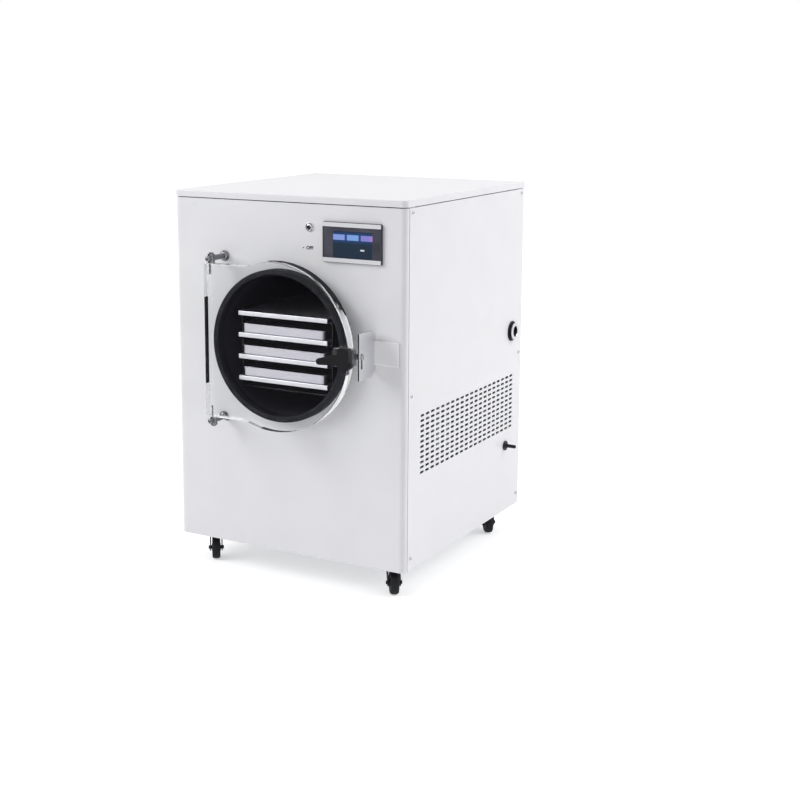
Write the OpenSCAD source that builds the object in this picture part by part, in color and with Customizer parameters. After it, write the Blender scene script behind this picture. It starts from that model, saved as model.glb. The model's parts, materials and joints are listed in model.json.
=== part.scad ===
// Cabinet freeze dryer on castors: round drying chamber behind a hinged clear door,
// four heating shelves with three trays, refrigeration unit below, operator screen above.
// Axes: +X to the viewer's right, +Y to the back, +Z up. The front panel faces -Y.

/* [Cabinet] */
// Width across the side panels
cab_w = 560; // [540:5:620]
// Depth from front panel face to back panel face
cab_d = 580; // [560:5:680]
// Height from the panels' lower edge to the top of the cover
cab_h = 762; // [750:2:820]
// Thickness of the folded sheet panels
sheet = 1.5; // [1:0.1:2]
// Outer radius of the front panel's two upright corners
corner_r = 12; // [8:1:18]
// Straight run of the front panel's side return behind the corner
front_return = 0.5; // [0.5:0.5:6]
// Open joint between the front panel's return and a side panel
panel_gap = 2.5; // [1:0.5:4]
// Height of the top cover's skirt
lid_h = 14; // [10:1:25]
// Overhang of the top cover past the cabinet faces
lid_over = 1.5; // [0.5:0.5:4]
// Dark joint between the skirt and the panels
lid_gap = 2; // [1:0.5:4]
// Width of the folds along the panels' inner edges
fold_w = 12; // [8:1:16]

/* [Frame] */
// Leg width of the corner posts
post_leg = 25; // [20:1:32]
// Wall of the corner posts
post_t = 2; // [1.5:0.5:3]
// Thickness of the base plate
base_t = 2; // [1.5:0.5:4]
// Height of the upstand around the base plate
base_up = 24; // [15:1:40]
// Base plate underside above the panels' lower edge
base_recess = 8; // [4:1:20]
// Section of the cradle's two side rails
rail_s = 20; // [15:1:25]
// Underside of the cradle rails above the base plate
rail_z = 330; // [322:1:336]
// Thickness of the chamber saddles
saddle_t = 3; // [2:0.5:5]
// Front saddle behind the front face
saddle_front_y = 90; // [75:5:100]
// Rear saddle in front of the inside of the chamber's end plate
saddle_rear = 7; // [4:1:20]

/* [Chamber] */
// Inner radius of the drying chamber tube
chamber_r = 150; // [140:1:152]
// Wall of the chamber tube
chamber_wall = 3; // [2:0.5:4]
// Space behind the shelves for their cables, up to the end plate
rack_room = 24; // [20:1:30]
// Thickness of the chamber's end plate
chamber_end_t = 4; // [3:0.5:8]
// Sideways offset of the chamber from the cabinet's middle
chamber_x = 7; // [0:1:10]
// Height of the chamber axis above the panels' lower edge
chamber_z = 454; // [446:1:456]
// How far the chamber lip stands out of the front panel
lip_out = 33; // [28:1:40]
// Thickness of the foam jacket
foam_t = 20; // [15:1:21]
// Outer diameter of the evaporator tube
coil_d = 9.5; // [8:0.5:10]
// Pitch of the evaporator coil
coil_pitch = 34; // [28:1:50]

/* [Door gasket] */
// Thickness of the gasket outside the chamber tube
gasket_wall = 6.2; // [5:0.2:8]
// Part of the gasket in front of the lip
gasket_nose = 3.6; // [3:0.2:5]
// Length of the gasket over the lip
gasket_grip = 19; // [14:1:22]

/* [Door] */
// Thickness of the clear door plate
door_t = 25; // [20:1:30]
// Radius of the door's round end
door_r = 176; // [168:1:180]
// Half height of the door's hinge side
door_half_h = 163; // [155:1:167]
// Door edge outside the hinge axis
door_edge = 11; // [10:0.5:11]
// Bevel on the back of the hinge edge, for swing clearance
door_bevel = 8; // [7:0.5:9]
// Air between gasket nose and door plate
door_air = 0.4; // [0.4:0.05:0.6]
// Break on the door plate's face edges
door_break = 1; // [0.5:0.25:2]

/* [Hinge] */
// Hinge axis left of the chamber axis
hinge_dx = 159; // [156:1:162]
// Diameter of the hinge pins
pin_d = 6; // [5:0.5:8]
// Depth of the pins in the door plate
pin_depth = 24; // [18:1:35]
// Radial clearance of the pins in the door plate
pin_fit = 0.05; // [0.02:0.01:0.08]
// Diameter of the hinge posts
hinge_post_d = 12; // [10:1:14]
// Diameter of the upright eye on a hinge post
eye_d = 15; // [14:1:18]
// Height of the upright eye
eye_h = 19; // [16:1:22]
// Length of the post beyond the eye's centre
post_tip = 17; // [14:1:22]
// Diameter of the domed rose at the panel
rose_d = 23; // [20:1:28]
// Height of the domed rose
rose_h = 8; // [6:1:10]
// Air between an eye and the door plate's edge
eye_air = 0.5; // [0.3:0.1:0.8]

/* [Latch] */
// Spindle axis outside the door's round end
spindle_dx = 9; // [8.5:0.5:10]
// Diameter of the latch spindle
spindle_d = 10; // [8:0.5:11]
// Radial clearance of the spindle in its body
spindle_fit = 0.05; // [0.02:0.01:0.08]
// Width of the latch body
latch_w = 42; // [38:1:46]
// Height of the latch body
latch_h = 37; // [32:1:42]
// Depth of the latch body
latch_d = 20; // [18:1:26]
// Distance from spindle to the latch body's outer side
latch_side = 11; // [10:0.5:12]
// Length of the lever from spindle to tip
lever_len = 62; // [50:1:80]
// Width of the lever's hub
lever_hub_w = 26; // [22:1:30]
// Height of the lever's hub
lever_hub_h = 44; // [36:1:50]
// Thickness of the lever's hub
lever_hub_t = 15; // [13:1:20]
// Diameter of the ball on the lever's tail
tail_ball_d = 12; // [10:1:14]
// Running gap between lever and latch body
lever_air = 0.4; // [0.3:0.1:0.8]
// Thickness of the cam tongue
tongue_t = 5; // [4:0.5:6]
// Reach of the cam tongue past the spindle
tongue_reach = 23; // [21:1:26]
// Width of the cam tongue
tongue_w = 11; // [10:0.5:12]
// Front of the cam tongue behind the door's front face
tongue_in = 4; // [3:0.5:6]
// Thickness of the keeper plate
keeper_t = 3; // [2:0.5:4]
// Air between latch body and keeper plate
keeper_air = 5; // [4:0.5:8]
// Reach of the keeper plate from the front panel
keeper_out = 65; // [60:1:70]
// Height of the keeper plate
keeper_h = 95; // [80:1:110]
// Width of the keeper's foot
keeper_foot = 25; // [22:1:27]
// Clearance around the tongue in the keeper slot
slot_air = 1.2; // [1:0.1:2]
// Thickness of the white bar under the keeper
bar_t = 4; // [3:0.5:6]
// Height of the white bar
bar_h = 50; // [44:1:60]
// End of the bar short of the cabinet side
bar_stop = 14; // [13:1:20]

/* [Controls] */
// Centre of the screen right of the cabinet's middle
screen_x = 159.5; // [150:0.5:170]
// Centre of the screen above the panels' lower edge
screen_z = 672; // [668:1:680]
// Width of the screen housing
screen_w = 136; // [130:1:140]
// Height of the screen housing
screen_h = 82; // [76:1:90]
// Thickness of the screen housing in front of the panel
screen_t = 6; // [4:0.5:10]
// Height of the screen's bright top and bottom rails
rail_h = 9.5; // [8:0.5:12]
// Side margin of the screen glass
glass_margin = 3; // [2:0.5:6]
// Depth of the screen's body behind the panel
screen_body_d = 32; // [25:1:40]
// Centre of the power button right of the cabinet's middle
button_x = 58.5; // [50:0.5:65]
// Centre of the power button above the panels' lower edge
button_z = 699; // [690:1:705]
// Diameter of the button's collar
collar_d = 19; // [18:0.5:24]
// Diameter of the button cap
button_d = 12.6; // [11:0.2:13.4]
// Radial clearance of the button cap
button_fit = 0.3; // [0.2:0.05:0.4]
// Travel of the button
button_travel = 1.6; // [1:0.1:2]

/* [Vents] */
// Number of slots along a row
vent_cols = 20; // [12:1:20]
// Number of rows
vent_rows = 12; // [8:1:12]
// Spacing of the slots along a row
vent_dx = 23.7; // [22:0.1:24]
// Spacing of the rows
vent_dz = 10.9; // [10:0.1:11.5]
// Length of a slot
slot_l = 17; // [12:0.5:18.5]
// Height of a slot
slot_h = 5.4; // [4:0.2:6.5]
// First slot's centre behind the front face
vent_y = 76.4; // [66:0.2:80]
// Lowest row above the panels' lower edge
vent_z = 197; // [190:1:200]

/* [Fittings] */
// Centre of the vacuum port in front of the back face
port_back = 54; // [48:1:65]
// Centre of the vacuum port above the panels' lower edge
port_z = 422; // [418:1:428]
// Outer diameter of the small-flange vacuum port
port_flange_d = 40; // [38:0.5:42]
// Bore of the vacuum port
port_bore = 24; // [20:0.5:25]
// Reach of the vacuum port from the side panel
port_out = 10; // [8:1:16]
// Outer diameter of the port grommet
grommet_d = 46; // [44:1:50]
// Outer diameter of the vacuum pipe
vac_pipe_d = 28; // [27:0.5:30]
// Wall of the vacuum pipe
pipe_wall = 1.5; // [1.2:0.1:1.8]
// Centre of the drain nozzle in front of the middle of the space behind the jacket
drain_shift = 6.75; // [4:0.25:9]
// Centre of the drain nozzle above the panels' lower edge
drain_z = 157; // [150:1:165]
// Reach of the drain nozzle from the side panel
drain_out = 27; // [25:1:35]
// Diameter of the drain nozzle's hose spout
spout_d = 8; // [7:0.5:10]
// Diameter of the drain nozzle's flange
drain_flange_d = 22; // [20:1:26]
// Outer diameter of the drain hose
drain_hose_d = 13; // [12:0.5:15]

/* [Rack] */
// Width of a heating shelf
shelf_w = 216; // [200:1:222]
// Depth of a heating shelf
shelf_d = 400; // [380:5:405]
// Thickness of a heating shelf
shelf_t = 10; // [8:0.5:12]
// Spacing of the heating shelves
shelf_pitch = 46; // [42:0.5:46]
// Number of heating shelves
shelf_n = 4; // [4]
// Middle of the shelf stack below the chamber axis
shelf_drop = 10; // [8:0.5:12]
// Shelf front edge behind the chamber lip
shelf_in = 16; // [12:1:24]
// Width of a tray
tray_w = 200; // [180:1:210]
// Depth of a tray
tray_d = 380; // [340:5:385]
// Rim of a tray behind the shelf's front edge
tray_step = 2; // [1:0.5:5]
// Height of a tray
tray_h = 20; // [15:1:25]
// Wall of a tray
tray_t = 1.2; // [0.8:0.1:2]
// Corner radius of a tray
tray_r = 8; // [5:1:15]

/* [Refrigeration] */
// Diameter of the compressor shell
comp_d = 180; // [160:2:190]
// Height of the compressor shell
comp_h = 196; // [180:2:210]
// Compressor axis left of the cabinet's middle
comp_x = 120; // [115:1:130]
// Compressor axis behind the front face
comp_y = 250; // [245:1:260]
// Width of the condenser block
cond_w = 260; // [230:5:270]
// Height of the condenser block
cond_h = 300; // [280:5:310]
// Thickness of the condenser block
cond_t = 36; // [30:1:40]
// Number of condenser fins drawn
cond_fins = 24; // [16:1:30]
// Tip diameter of the fan
fan_d = 196; // [180:2:200]
// Number of fan blades
fan_blades_n = 5; // [4:1:7]
// Outer diameter of the refrigerant lines
line_d = 8; // [6:0.5:9]

/* [Castors] */
// Diameter of a castor wheel
wheel_d = 50; // [48:1:54]
// Width of a castor wheel
wheel_w = 20; // [16:1:22]
// Overall height of a castor
castor_h = 70; // [70:1:78]
// Sideways trail of the wheel behind its swivel axis
castor_trail = 20; // [16:1:24]
// Inset of the swivel axes from the cabinet faces
castor_inset = 55; // [48:1:70]
// Side of the square castor plate
castor_plate = 56; // [50:1:60]
// Thickness of the castor plate
castor_plate_t = 2.5; // [2:0.5:4]
// Angle that the castors are swivelled to
castor_turn = 35; // [0:5:60]

/* [Screws] */
// Shank diameter of the panel screws
screw_d = 3.9; // [3:0.1:5]
// Head diameter of the panel screws
screw_head_d = 8; // [7:0.5:10]
// Head height of the panel screws
screw_head_h = 2.2; // [1.5:0.1:3]
// Length of the panel screws under the head
screw_l = 8; // [6:0.5:12]
// Screws from the side panels' upright edges
screw_edge = 12; // [10:0.5:14]
// Lowest screws above the panels' lower edge
screw_low = 26; // [22:1:40]
// Middle screws above the panels' lower edge
screw_mid = 366; // [355:1:380]
// Highest screws below the top of the cover
screw_high = 25; // [23:1:40]

/* [Hidden] */
$fn = 64;
e = 0.01;                       // overlap of a cutting tool past a face
snug = 0.05;                    // radial gap of a pin pressed or screwed in its hole
butt = 0.3;                     // gap between tubes that meet

// Heights
ground_gap = castor_h - base_recess;
base_z = castor_h;
floor_z = base_z + base_t;
top_z = ground_gap + cab_h;
skirt_z = top_z - lid_h;
panel_top = skirt_z - lid_gap;
under_lid = top_z - sheet;

// Inner faces of the panels
half_w = cab_w / 2;
in_x = half_w - sheet;
back_in = cab_d - sheet;
lip_y = corner_r + front_return;
side_y0 = lip_y + panel_gap;
port_y = cab_d - port_back;

// Drying chamber
cham_z = ground_gap + chamber_z;
cham_or = chamber_r + chamber_wall;
lip_front = -lip_out;
shelf_run = max(shelf_d, tray_d + 2 * tray_step);
cham_end = lip_front + shelf_in + shelf_run + rack_room;
cham_back = cham_end + chamber_end_t;
collar_t = 4;
collar_y = sheet + collar_t;
coil_r = cham_or + 1.2 + coil_d / 2;
foam_ir = coil_r + coil_d / 2 + 1;
foam_or = foam_ir + foam_t;
foam_back = cham_back + foam_t;
drain_y = (foam_back + back_in) / 2 - drain_shift;

// Door, from back to front
nose_y = lip_front - gasket_nose;
door_back = nose_y - door_air;
door_front = door_back - door_t;
hinge_y = door_back - door_t / 2;
hinge_x = chamber_x - hinge_dx;
eye_z = door_half_h + eye_air + eye_h / 2;

// Latch
spindle_x = chamber_x + door_r + spindle_dx;
latch_right = spindle_x + latch_side;
latch_left = latch_right - latch_w;
latch_front = door_front - latch_d;
lever_back = latch_front - lever_air;
lever_front = lever_back - lever_hub_t;
keeper_x = latch_right + keeper_air;
tongue_y = door_front + tongue_in;

// The whole object's footprint is centred on the origin
inlet_out = 3;
side_reach = max(drain_out, port_out);
side_out = max(lid_over, screw_head_h);
rear_out = max(side_out, inlet_out);
shift_x = -(side_reach - side_out) / 2;
shift_y = (-lever_front - cab_d - rear_out) / 2;

module place() {
    translate([shift_x, shift_y, 0]) children();
}

// ---------- helpers ----------

// Cylinder along +Y from y0 to y1
module y_cyl(x, z, y0, y1, r) {
    translate([x, y0, z]) rotate([-90, 0, 0]) cylinder(h = y1 - y0, r = r);
}

// Cylinder along +X from x0 to x1
module x_cyl(y, z, x0, x1, r) {
    translate([x0, y, z]) rotate([0, 90, 0]) cylinder(h = x1 - x0, r = r);
}

// Box between two corners
module block(a, b) {
    translate(a) cube([b[0] - a[0], b[1] - a[1], b[2] - a[2]]);
}

// Rectangle centred on the origin with round corners
module round_rect(w, h, r) {
    square([w - 2 * r, h], center = true);
    square([w, h - 2 * r], center = true);
    for (sx = [-1, 1], sy = [-1, 1])
        translate([sx * (w / 2 - r), sy * (h / 2 - r)]) circle(r);
}

// Outline drawn in X and Z, thickened from y0 back to y1
module y_slab(y0, y1) {
    translate([0, y1, 0]) rotate([90, 0, 0]) linear_extrude(y1 - y0) children();
}

// Outline drawn in Y and Z, thickened from x0 to x1
module x_slab(x0, x1) {
    translate([x0, 0, 0]) rotate([90, 0, 90]) linear_extrude(x1 - x0) children();
}

// Body turned about an axis along -Y (z of the profile points to the front)
module turned_front(x, y, z) {
    translate([x, y, z]) rotate([90, 0, 0]) rotate_extrude() children();
}

function unit(v) = v / norm(v);

// Quarter bend at p between the directions a (in) and b (out)
module elbow(p, a, b, r, bend) {
    c = cross(a, b);
    o = p - bend * a + bend * b;
    multmatrix([
        [-b[0], a[0], c[0], o[0]],
        [-b[1], a[1], c[1], o[1]],
        [-b[2], a[2], c[2], o[2]],
        [0, 0, 0, 1]
    ])
        rotate_extrude(angle = 90) translate([bend, 0]) circle(r);
}

// Round rod from a to b along any one axis
module rod(a, b, r) {
    d = unit(b - a);
    turn = abs(d[2]) > 0.5 ? [d[2] > 0 ? 0 : 180, 0, 0]
        : abs(d[0]) > 0.5 ? [0, d[0] > 0 ? 90 : -90, 0]
        : [d[1] > 0 ? -90 : 90, 0, 0];
    translate(a) rotate(turn) cylinder(h = norm(b - a), r = r);
}

// Rod that follows points joined by runs along the axes, with quarter bends
module bent_rod(pts, r, bend) {
    n = len(pts);
    for (i = [0 : n - 2]) {
        d = unit(pts[i + 1] - pts[i]);
        a = i == 0 ? pts[i] : pts[i] + bend * d;
        b = i == n - 2 ? pts[i + 1] : pts[i + 1] - bend * d;
        rod(a, b, r);
    }
    for (i = [1 : n - 2])
        elbow(pts[i], unit(pts[i] - pts[i - 1]), unit(pts[i + 1] - pts[i]), r, bend);
}

// ---------- casing ----------

screw_zs = [ground_gap + screw_low, ground_gap + screw_mid, top_z - screw_high];
screw_ys = [side_y0 + screw_edge, back_in - screw_edge];
back_screw_x = in_x - screw_edge;

// Every panel screw: side panels, then back panel. The head's seat is at z = 0, its shank goes down
module at_panel_screws() {
    for (sx = [-1, 1], y = screw_ys, z = screw_zs)
        translate([sx * half_w, y, z]) rotate([0, sx * 90, 0]) children();
    for (sx = [-1, 1], z = screw_zs)
        translate([sx * back_screw_x, cab_d, z]) rotate([-90, 0, 0]) children();
}

module screw_holes() {
    at_panel_screws() translate([0, 0, -screw_l - 2]) cylinder(h = screw_l + 4, r = screw_d / 2 + snug);
}

module panel_screws() color("#c9c9cc") place() {
    dome = screw_head_h / 3;
    at_panel_screws() {
        translate([0, 0, -screw_l]) cylinder(h = screw_l + e, r = screw_d / 2, $fn = 24);
        cylinder(h = screw_head_h - dome, r = screw_head_d / 2, $fn = 24);
        translate([0, 0, screw_head_h - dome])
            cylinder(h = dome, r1 = screw_head_d / 2, r2 = screw_head_d / 3, $fn = 24);
    }
}

// Castor positions: sign in X, sign in Y (-1 is the front)
function castor_xy(sx, sy) = [
    sx * (half_w - castor_inset),
    sy < 0 ? castor_inset : cab_d - castor_inset
];
castor_hole = castor_plate / 2 - 9;
castor_bolt_d = 6;

module at_castor_bolts() {
    for (sx = [-1, 1], sy = [-1, 1], bx = [-1, 1], by = [-1, 1])
        translate([castor_xy(sx, sy)[0] + bx * castor_hole, castor_xy(sx, sy)[1] + by * castor_hole, base_z])
            children();
}

// Folded base plate with an upstand between the corner posts
module base_pan() color("#d9dadd") place() difference() {
    run_y0 = lip_y + post_leg;
    run_y1 = back_in - post_leg;
    run_x = in_x - post_leg;
    union() {
        block([-in_x, lip_y, base_z], [in_x, back_in, floor_z]);
        for (sx = [-1, 1])
            translate([sx * (in_x - base_t / 2), (run_y0 + run_y1) / 2, base_z + base_up / 2])
                cube([base_t, run_y1 - run_y0, base_up], center = true);
        block([-run_x, lip_y, base_z], [run_x, lip_y + base_t, base_z + base_up]);
        block([-run_x, back_in - base_t, base_z], [run_x, back_in, base_z + base_up]);
    }
    at_castor_bolts() translate([0, 0, -1]) cylinder(h = base_t + 2, r = castor_bolt_d / 2 + snug);
}

// Four upright angles between base plate and cover
module corner_posts() color("#c4c6ca") place() difference() {
    for (sx = [-1, 1]) scale([1, 1, 1]) mirror([sx < 0 ? 1 : 0, 0, 0]) {
        block([in_x - post_t, lip_y, floor_z], [in_x, lip_y + post_leg, under_lid]);
        block([in_x - post_leg, lip_y, floor_z], [in_x, lip_y + post_t, under_lid]);
        block([in_x - post_t, back_in - post_leg, floor_z], [in_x, back_in, under_lid]);
        block([in_x - post_leg, back_in - post_t, floor_z], [in_x, back_in, under_lid]);
    }
    screw_holes();
}

// Rails along both sides with two saddles that carry the foam-jacketed chamber
module chamber_cradle() color("#c4c6ca") place() {
    z0 = floor_z + rail_z;
    x1 = in_x - post_t;
    y0 = lip_y + post_t;
    y1 = back_in - post_t;
    web_z = cham_z - foam_or - 18;
    for (sx = [-1, 1]) mirror([sx < 0 ? 1 : 0, 0, 0])
        difference() {
            block([x1 - rail_s, y0, z0], [x1, y1, z0 + rail_s]);
            block([x1 - rail_s + post_t, y0 - e, z0 + post_t], [x1 - post_t, y1 + e, z0 + rail_s - post_t]);
        }
    for (y = [saddle_front_y, cham_end - saddle_rear])
        y_slab(y, y + saddle_t) difference() {
            union() {
                translate([-x1 + rail_s, web_z]) square([2 * (x1 - rail_s), z0 + rail_s + 10 - web_z]);
                translate([-x1, z0 + rail_s]) square([2 * x1, 10]);
            }
            translate([chamber_x, cham_z]) circle(foam_or + butt, $fn = 128);
        }
}

// Plan outline of the front panel's outside, round at its two front corners
module front_plan(inset) {
    r = corner_r - inset;
    translate([-half_w + inset, corner_r]) square([cab_w - 2 * inset, front_return]);
    translate([-half_w + corner_r, inset]) square([cab_w - 2 * corner_r, r]);
    for (sx = [-1, 1])
        translate([sx * (half_w - corner_r), corner_r])
            intersection() {
                circle(r);
                translate([sx > 0 ? 0 : -r, -r]) square([r, r]);
            }
}

screen_cut_w = screen_w - 14;
screen_cut_h = screen_h - 14;
button_neck_d = collar_d - 3;
stud_d = 8;

module front_panel() color("#dedee0") place() difference() {
    h = panel_top - ground_gap;
    union() {
        translate([0, 0, ground_gap]) linear_extrude(h) difference() {
            front_plan(0);
            front_plan(sheet);
        }
        for (z = [ground_gap, panel_top - sheet]) translate([0, 0, z]) linear_extrude(sheet)
            intersection() {
                front_plan(0);
                translate([-half_w, 0]) square([cab_w, fold_w]);
            }
        for (sx = [-1, 1]) mirror([sx < 0 ? 1 : 0, 0, 0])
            block([in_x - fold_w, lip_y - sheet, ground_gap], [in_x + e, lip_y, panel_top]);
    }
    y_cyl(chamber_x, cham_z, -1, sheet + 1, cham_or + 0.5, $fn = 128);
    for (sz = [-1, 1]) y_cyl(hinge_x, cham_z + sz * eye_z, -1, sheet + 1, stud_d / 2 + snug);
    y_cyl(button_x, ground_gap + button_z, -1, sheet + 1, button_neck_d / 2 + snug);
    translate([screen_x, sheet / 2, ground_gap + screen_z])
        cube([screen_cut_w + 2 * snug, sheet + 2, screen_cut_h + 2 * snug], center = true);
}

// Outline of one vent slot
module vent_slot() {
    run = slot_l - slot_h;
    square([run, slot_h], center = true);
    for (s = [-1, 1]) translate([s * run / 2, 0]) circle(slot_h / 2, $fn = 24);
}

// Side panel outline with its slots, in Y and Z
module side_sheet() {
    difference() {
        translate([side_y0, ground_gap]) square([back_in - side_y0, panel_top - ground_gap]);
        for (c = [0 : vent_cols - 1], r = [0 : vent_rows - 1])
            translate([vent_y + c * vent_dx, ground_gap + vent_z + r * vent_dz]) vent_slot();
    }
}

// Side panel for the right side; the left one is its mirror image without the fittings
module side_panel() {
    x_slab(in_x, half_w) side_sheet();
    for (z = [ground_gap, panel_top - sheet])
        block([in_x - fold_w, lip_y + post_leg, z], [in_x + e, back_in - post_leg, z + sheet]);
}

module left_panel() color("#eeeff2") place() difference() {
    mirror([1, 0, 0]) side_panel();
    screw_holes();
}

module right_panel() color("#eeeff2") place() difference() {
    side_panel();
    screw_holes();
    x_cyl(port_y, ground_gap + port_z, in_x - 1, half_w + 1, grommet_neck_d / 2 + snug);
    x_cyl(drain_y, ground_gap + drain_z, in_x - 1, half_w + 1, drain_thread_d / 2 + snug);
}

inlet_x = half_w - 90;
inlet_z = base_z + 70;
inlet_w = 48;
inlet_h = 27;

module back_panel() color("#e8e9ec") place() difference() {
    union() {
        block([-half_w, back_in, ground_gap], [half_w, cab_d, panel_top]);
        for (z = [ground_gap, panel_top - sheet])
            block([-in_x + post_leg, back_in - fold_w, z], [in_x - post_leg, back_in + e, z + sheet]);
    }
    screw_holes();
    block([inlet_x - inlet_w / 2 - snug, back_in - 1, inlet_z - inlet_h / 2 - snug],
        [inlet_x + inlet_w / 2 + snug, cab_d + 1, inlet_z + inlet_h / 2 + snug]);
}

// Top cover: a pan turned down over the panels, with an eased upper edge
module top_cover() color("#f6f6f6") place() {
    ease = 2.5;
    w = cab_w + 2 * lid_over;
    d = cab_d + 2 * lid_over;
    r = corner_r + lid_over;
    translate([0, cab_d / 2, skirt_z]) difference() {
        union() {
            linear_extrude(lid_h - ease) lid_plan(w, d, r);
            translate([0, 0, lid_h - ease]) linear_extrude(ease) lid_plan(w - 2 * ease, d - 2 * ease, r - ease);
            translate([0, 0, lid_h - ease]) lid_edge(w, d, r, ease);
        }
        translate([0, 0, -e]) linear_extrude(lid_h - sheet + e)
            lid_plan(w - 2 * sheet, d - 2 * sheet, r - sheet);
    }
}

// Plan of the cover: round front corners, small radius at the back
module lid_plan(w, d, r) {
    translate([0, r / 2]) square([w, d - r], center = true);
    square([w - 2 * r, d], center = true);
    for (sx = [-1, 1]) translate([sx * (w / 2 - r), -d / 2 + r]) circle(r);
}

// Quarter-round along the cover's upper edge
module lid_edge(w, d, r, ease) {
    translate([0, -d / 2 + ease, 0]) rotate([0, 90, 0])
        cylinder(h = w - 2 * r, r = ease, center = true);
    translate([0, d / 2 - ease, 0]) rotate([0, 90, 0])
        cylinder(h = w - 2 * ease, r = ease, center = true);
    for (sx = [-1, 1]) {
        translate([sx * (w / 2 - ease), (r - ease) / 2, 0]) rotate([90, 0, 0])
            cylinder(h = d - r - ease, r = ease, center = true);
        translate([sx * (w / 2 - ease), d / 2 - ease, 0]) sphere(ease);
        translate([sx * (w / 2 - r), -d / 2 + r, 0]) rotate([0, 0, sx > 0 ? -90 : 180])
            rotate_extrude(angle = 90) translate([r - ease, 0]) circle(ease);
    }
}

// ---------- vacuum chamber ----------

stub_x = chamber_x + 0.6 * chamber_r;
port_axis_z = ground_gap + port_z;
drain_axis_z = ground_gap + drain_z;
drain_stub_x = chamber_x + chamber_r * 4 / 15;
drain_stub_z = cham_z - 0.9 * chamber_r;
drain_stub_r = (drain_hose_d - 5) / 2;
drain_stub_y = foam_back + 14;
collar_lip = 29;

// Drum with an end plate, a drain stub at the back and a shrunk-on collar behind the front panel
module chamber() color("#b9babe") place() {
    difference() {
        union() {
            y_cyl(chamber_x, cham_z, lip_front, cham_back, cham_or, $fn = 128);
            y_cyl(drain_stub_x, drain_stub_z, cham_end, drain_stub_y, drain_stub_r);
        }
        y_cyl(chamber_x, cham_z, lip_front - 1, cham_end, chamber_r, $fn = 128);
        y_cyl(drain_stub_x, drain_stub_z, cham_end - 1, drain_stub_y + 1, drain_stub_r - 1);
        y_cyl(stub_x, port_axis_z, cham_end - 1, cham_back + 1, vac_pipe_d / 2 - pipe_wall);
    }
    y_slab(sheet, collar_y) translate([chamber_x, cham_z]) difference() {
        circle(cham_or + collar_lip, $fn = 128);
        circle(cham_or + snug, $fn = 128);
    }
}

// Gasket ring pushed over the drum's front edge, with a rounded nose
module door_gasket() color("#1c1b22") place() {
    grip_in = chamber_r - snug;
    grip_out = cham_or + snug;
    r0 = chamber_r - (gasket_wall - chamber_wall) / 2 - 1.4;
    r1 = cham_or + gasket_wall;
    nose = 2;
    turned_front(chamber_x, lip_front, cham_z, $fn = 128) polygon([
        [r0, -gasket_grip],
        [grip_in, -gasket_grip],
        [grip_in, 0],
        [grip_out, 0],
        [grip_out, -gasket_grip],
        [r1, -gasket_grip],
        [r1, gasket_nose - nose],
        [r1 - 0.6, gasket_nose - 0.6],
        [r1 - nose, gasket_nose],
        [r0 + nose, gasket_nose],
        [r0 + 0.6, gasket_nose - 0.6],
        [r0, gasket_nose - nose]
    ]);
}

coil_low = cham_z - coil_r;
suction_y = collar_y + 22;
liquid_y = cham_back - 8;

// Foam jacket around drum and cooling coil, closed at the back
module foam_jacket() color("#e6dcb8") place() difference() {
    y_cyl(chamber_x, cham_z, collar_y, foam_back, foam_or, $fn = 128);
    y_cyl(chamber_x, cham_z, collar_y - 1, cham_back, foam_ir, $fn = 128);
    y_cyl(stub_x, port_axis_z, cham_back - 1, foam_back + 1, vac_pipe_d / 2 + butt);
    y_cyl(drain_stub_x, drain_stub_z, cham_back - 1, foam_back + 1, drain_stub_r + butt);
    y_cyl(chamber_x, coil_low, cham_back - 1, foam_back + 1, line_d / 2 + butt);
    translate([chamber_x, suction_y, cham_z - foam_or - 5])
        cylinder(h = 40, r = line_d / 2 + butt);
}

// Cooling coil wound round the drum, both ends at the bottom
coil_turns = floor((liquid_y - suction_y) / coil_pitch);
coil_steps = 28;
coil_sides = 6;
function coil_at(t) = [
    chamber_x + coil_r * sin(360 * t),
    suction_y + (liquid_y - suction_y) * t / coil_turns,
    cham_z - coil_r * cos(360 * t)
];
function coil_out(t) = [sin(360 * t), 0, -cos(360 * t)];

module evaporator_coil() color("#b87346") place() {
    n = coil_turns * coil_steps;
    pts = [
        for (i = [0 : n], k = [0 : coil_sides - 1])
            let(t = i / coil_steps, a = 360 * k / coil_sides)
                coil_at(t) + coil_d / 2 * (cos(a) * coil_out(t) + sin(a) * [0, 1, 0])
    ];
    walls = [
        for (i = [0 : n - 1], k = [0 : coil_sides - 1])
            let(k2 = (k + 1) % coil_sides, p = i * coil_sides, q = (i + 1) * coil_sides)
                [p + k, p + k2, q + k2, q + k]
    ];
    first = [for (k = [coil_sides - 1 : -1 : 0]) k];
    last = [for (k = [0 : coil_sides - 1]) n * coil_sides + k];
    polyhedron(points = pts, faces = concat(walls, [first], [last]), convexity = 10);
}

// ---------- shelf rack ----------

shelf_y0 = lip_front + shelf_in;
shelf_top = ((shelf_n - 1) * shelf_pitch + shelf_t) / 2 - shelf_drop;
function shelf_z(i) = cham_z + shelf_top - (i - 1) * shelf_pitch;
strip_t = 3;
strip_w = 30;
ledge = 6;
rack_x = shelf_w / 2 + snug;
strip_ys = [shelf_y0 + 18, shelf_y0 + shelf_d - 18 - strip_w];

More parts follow.
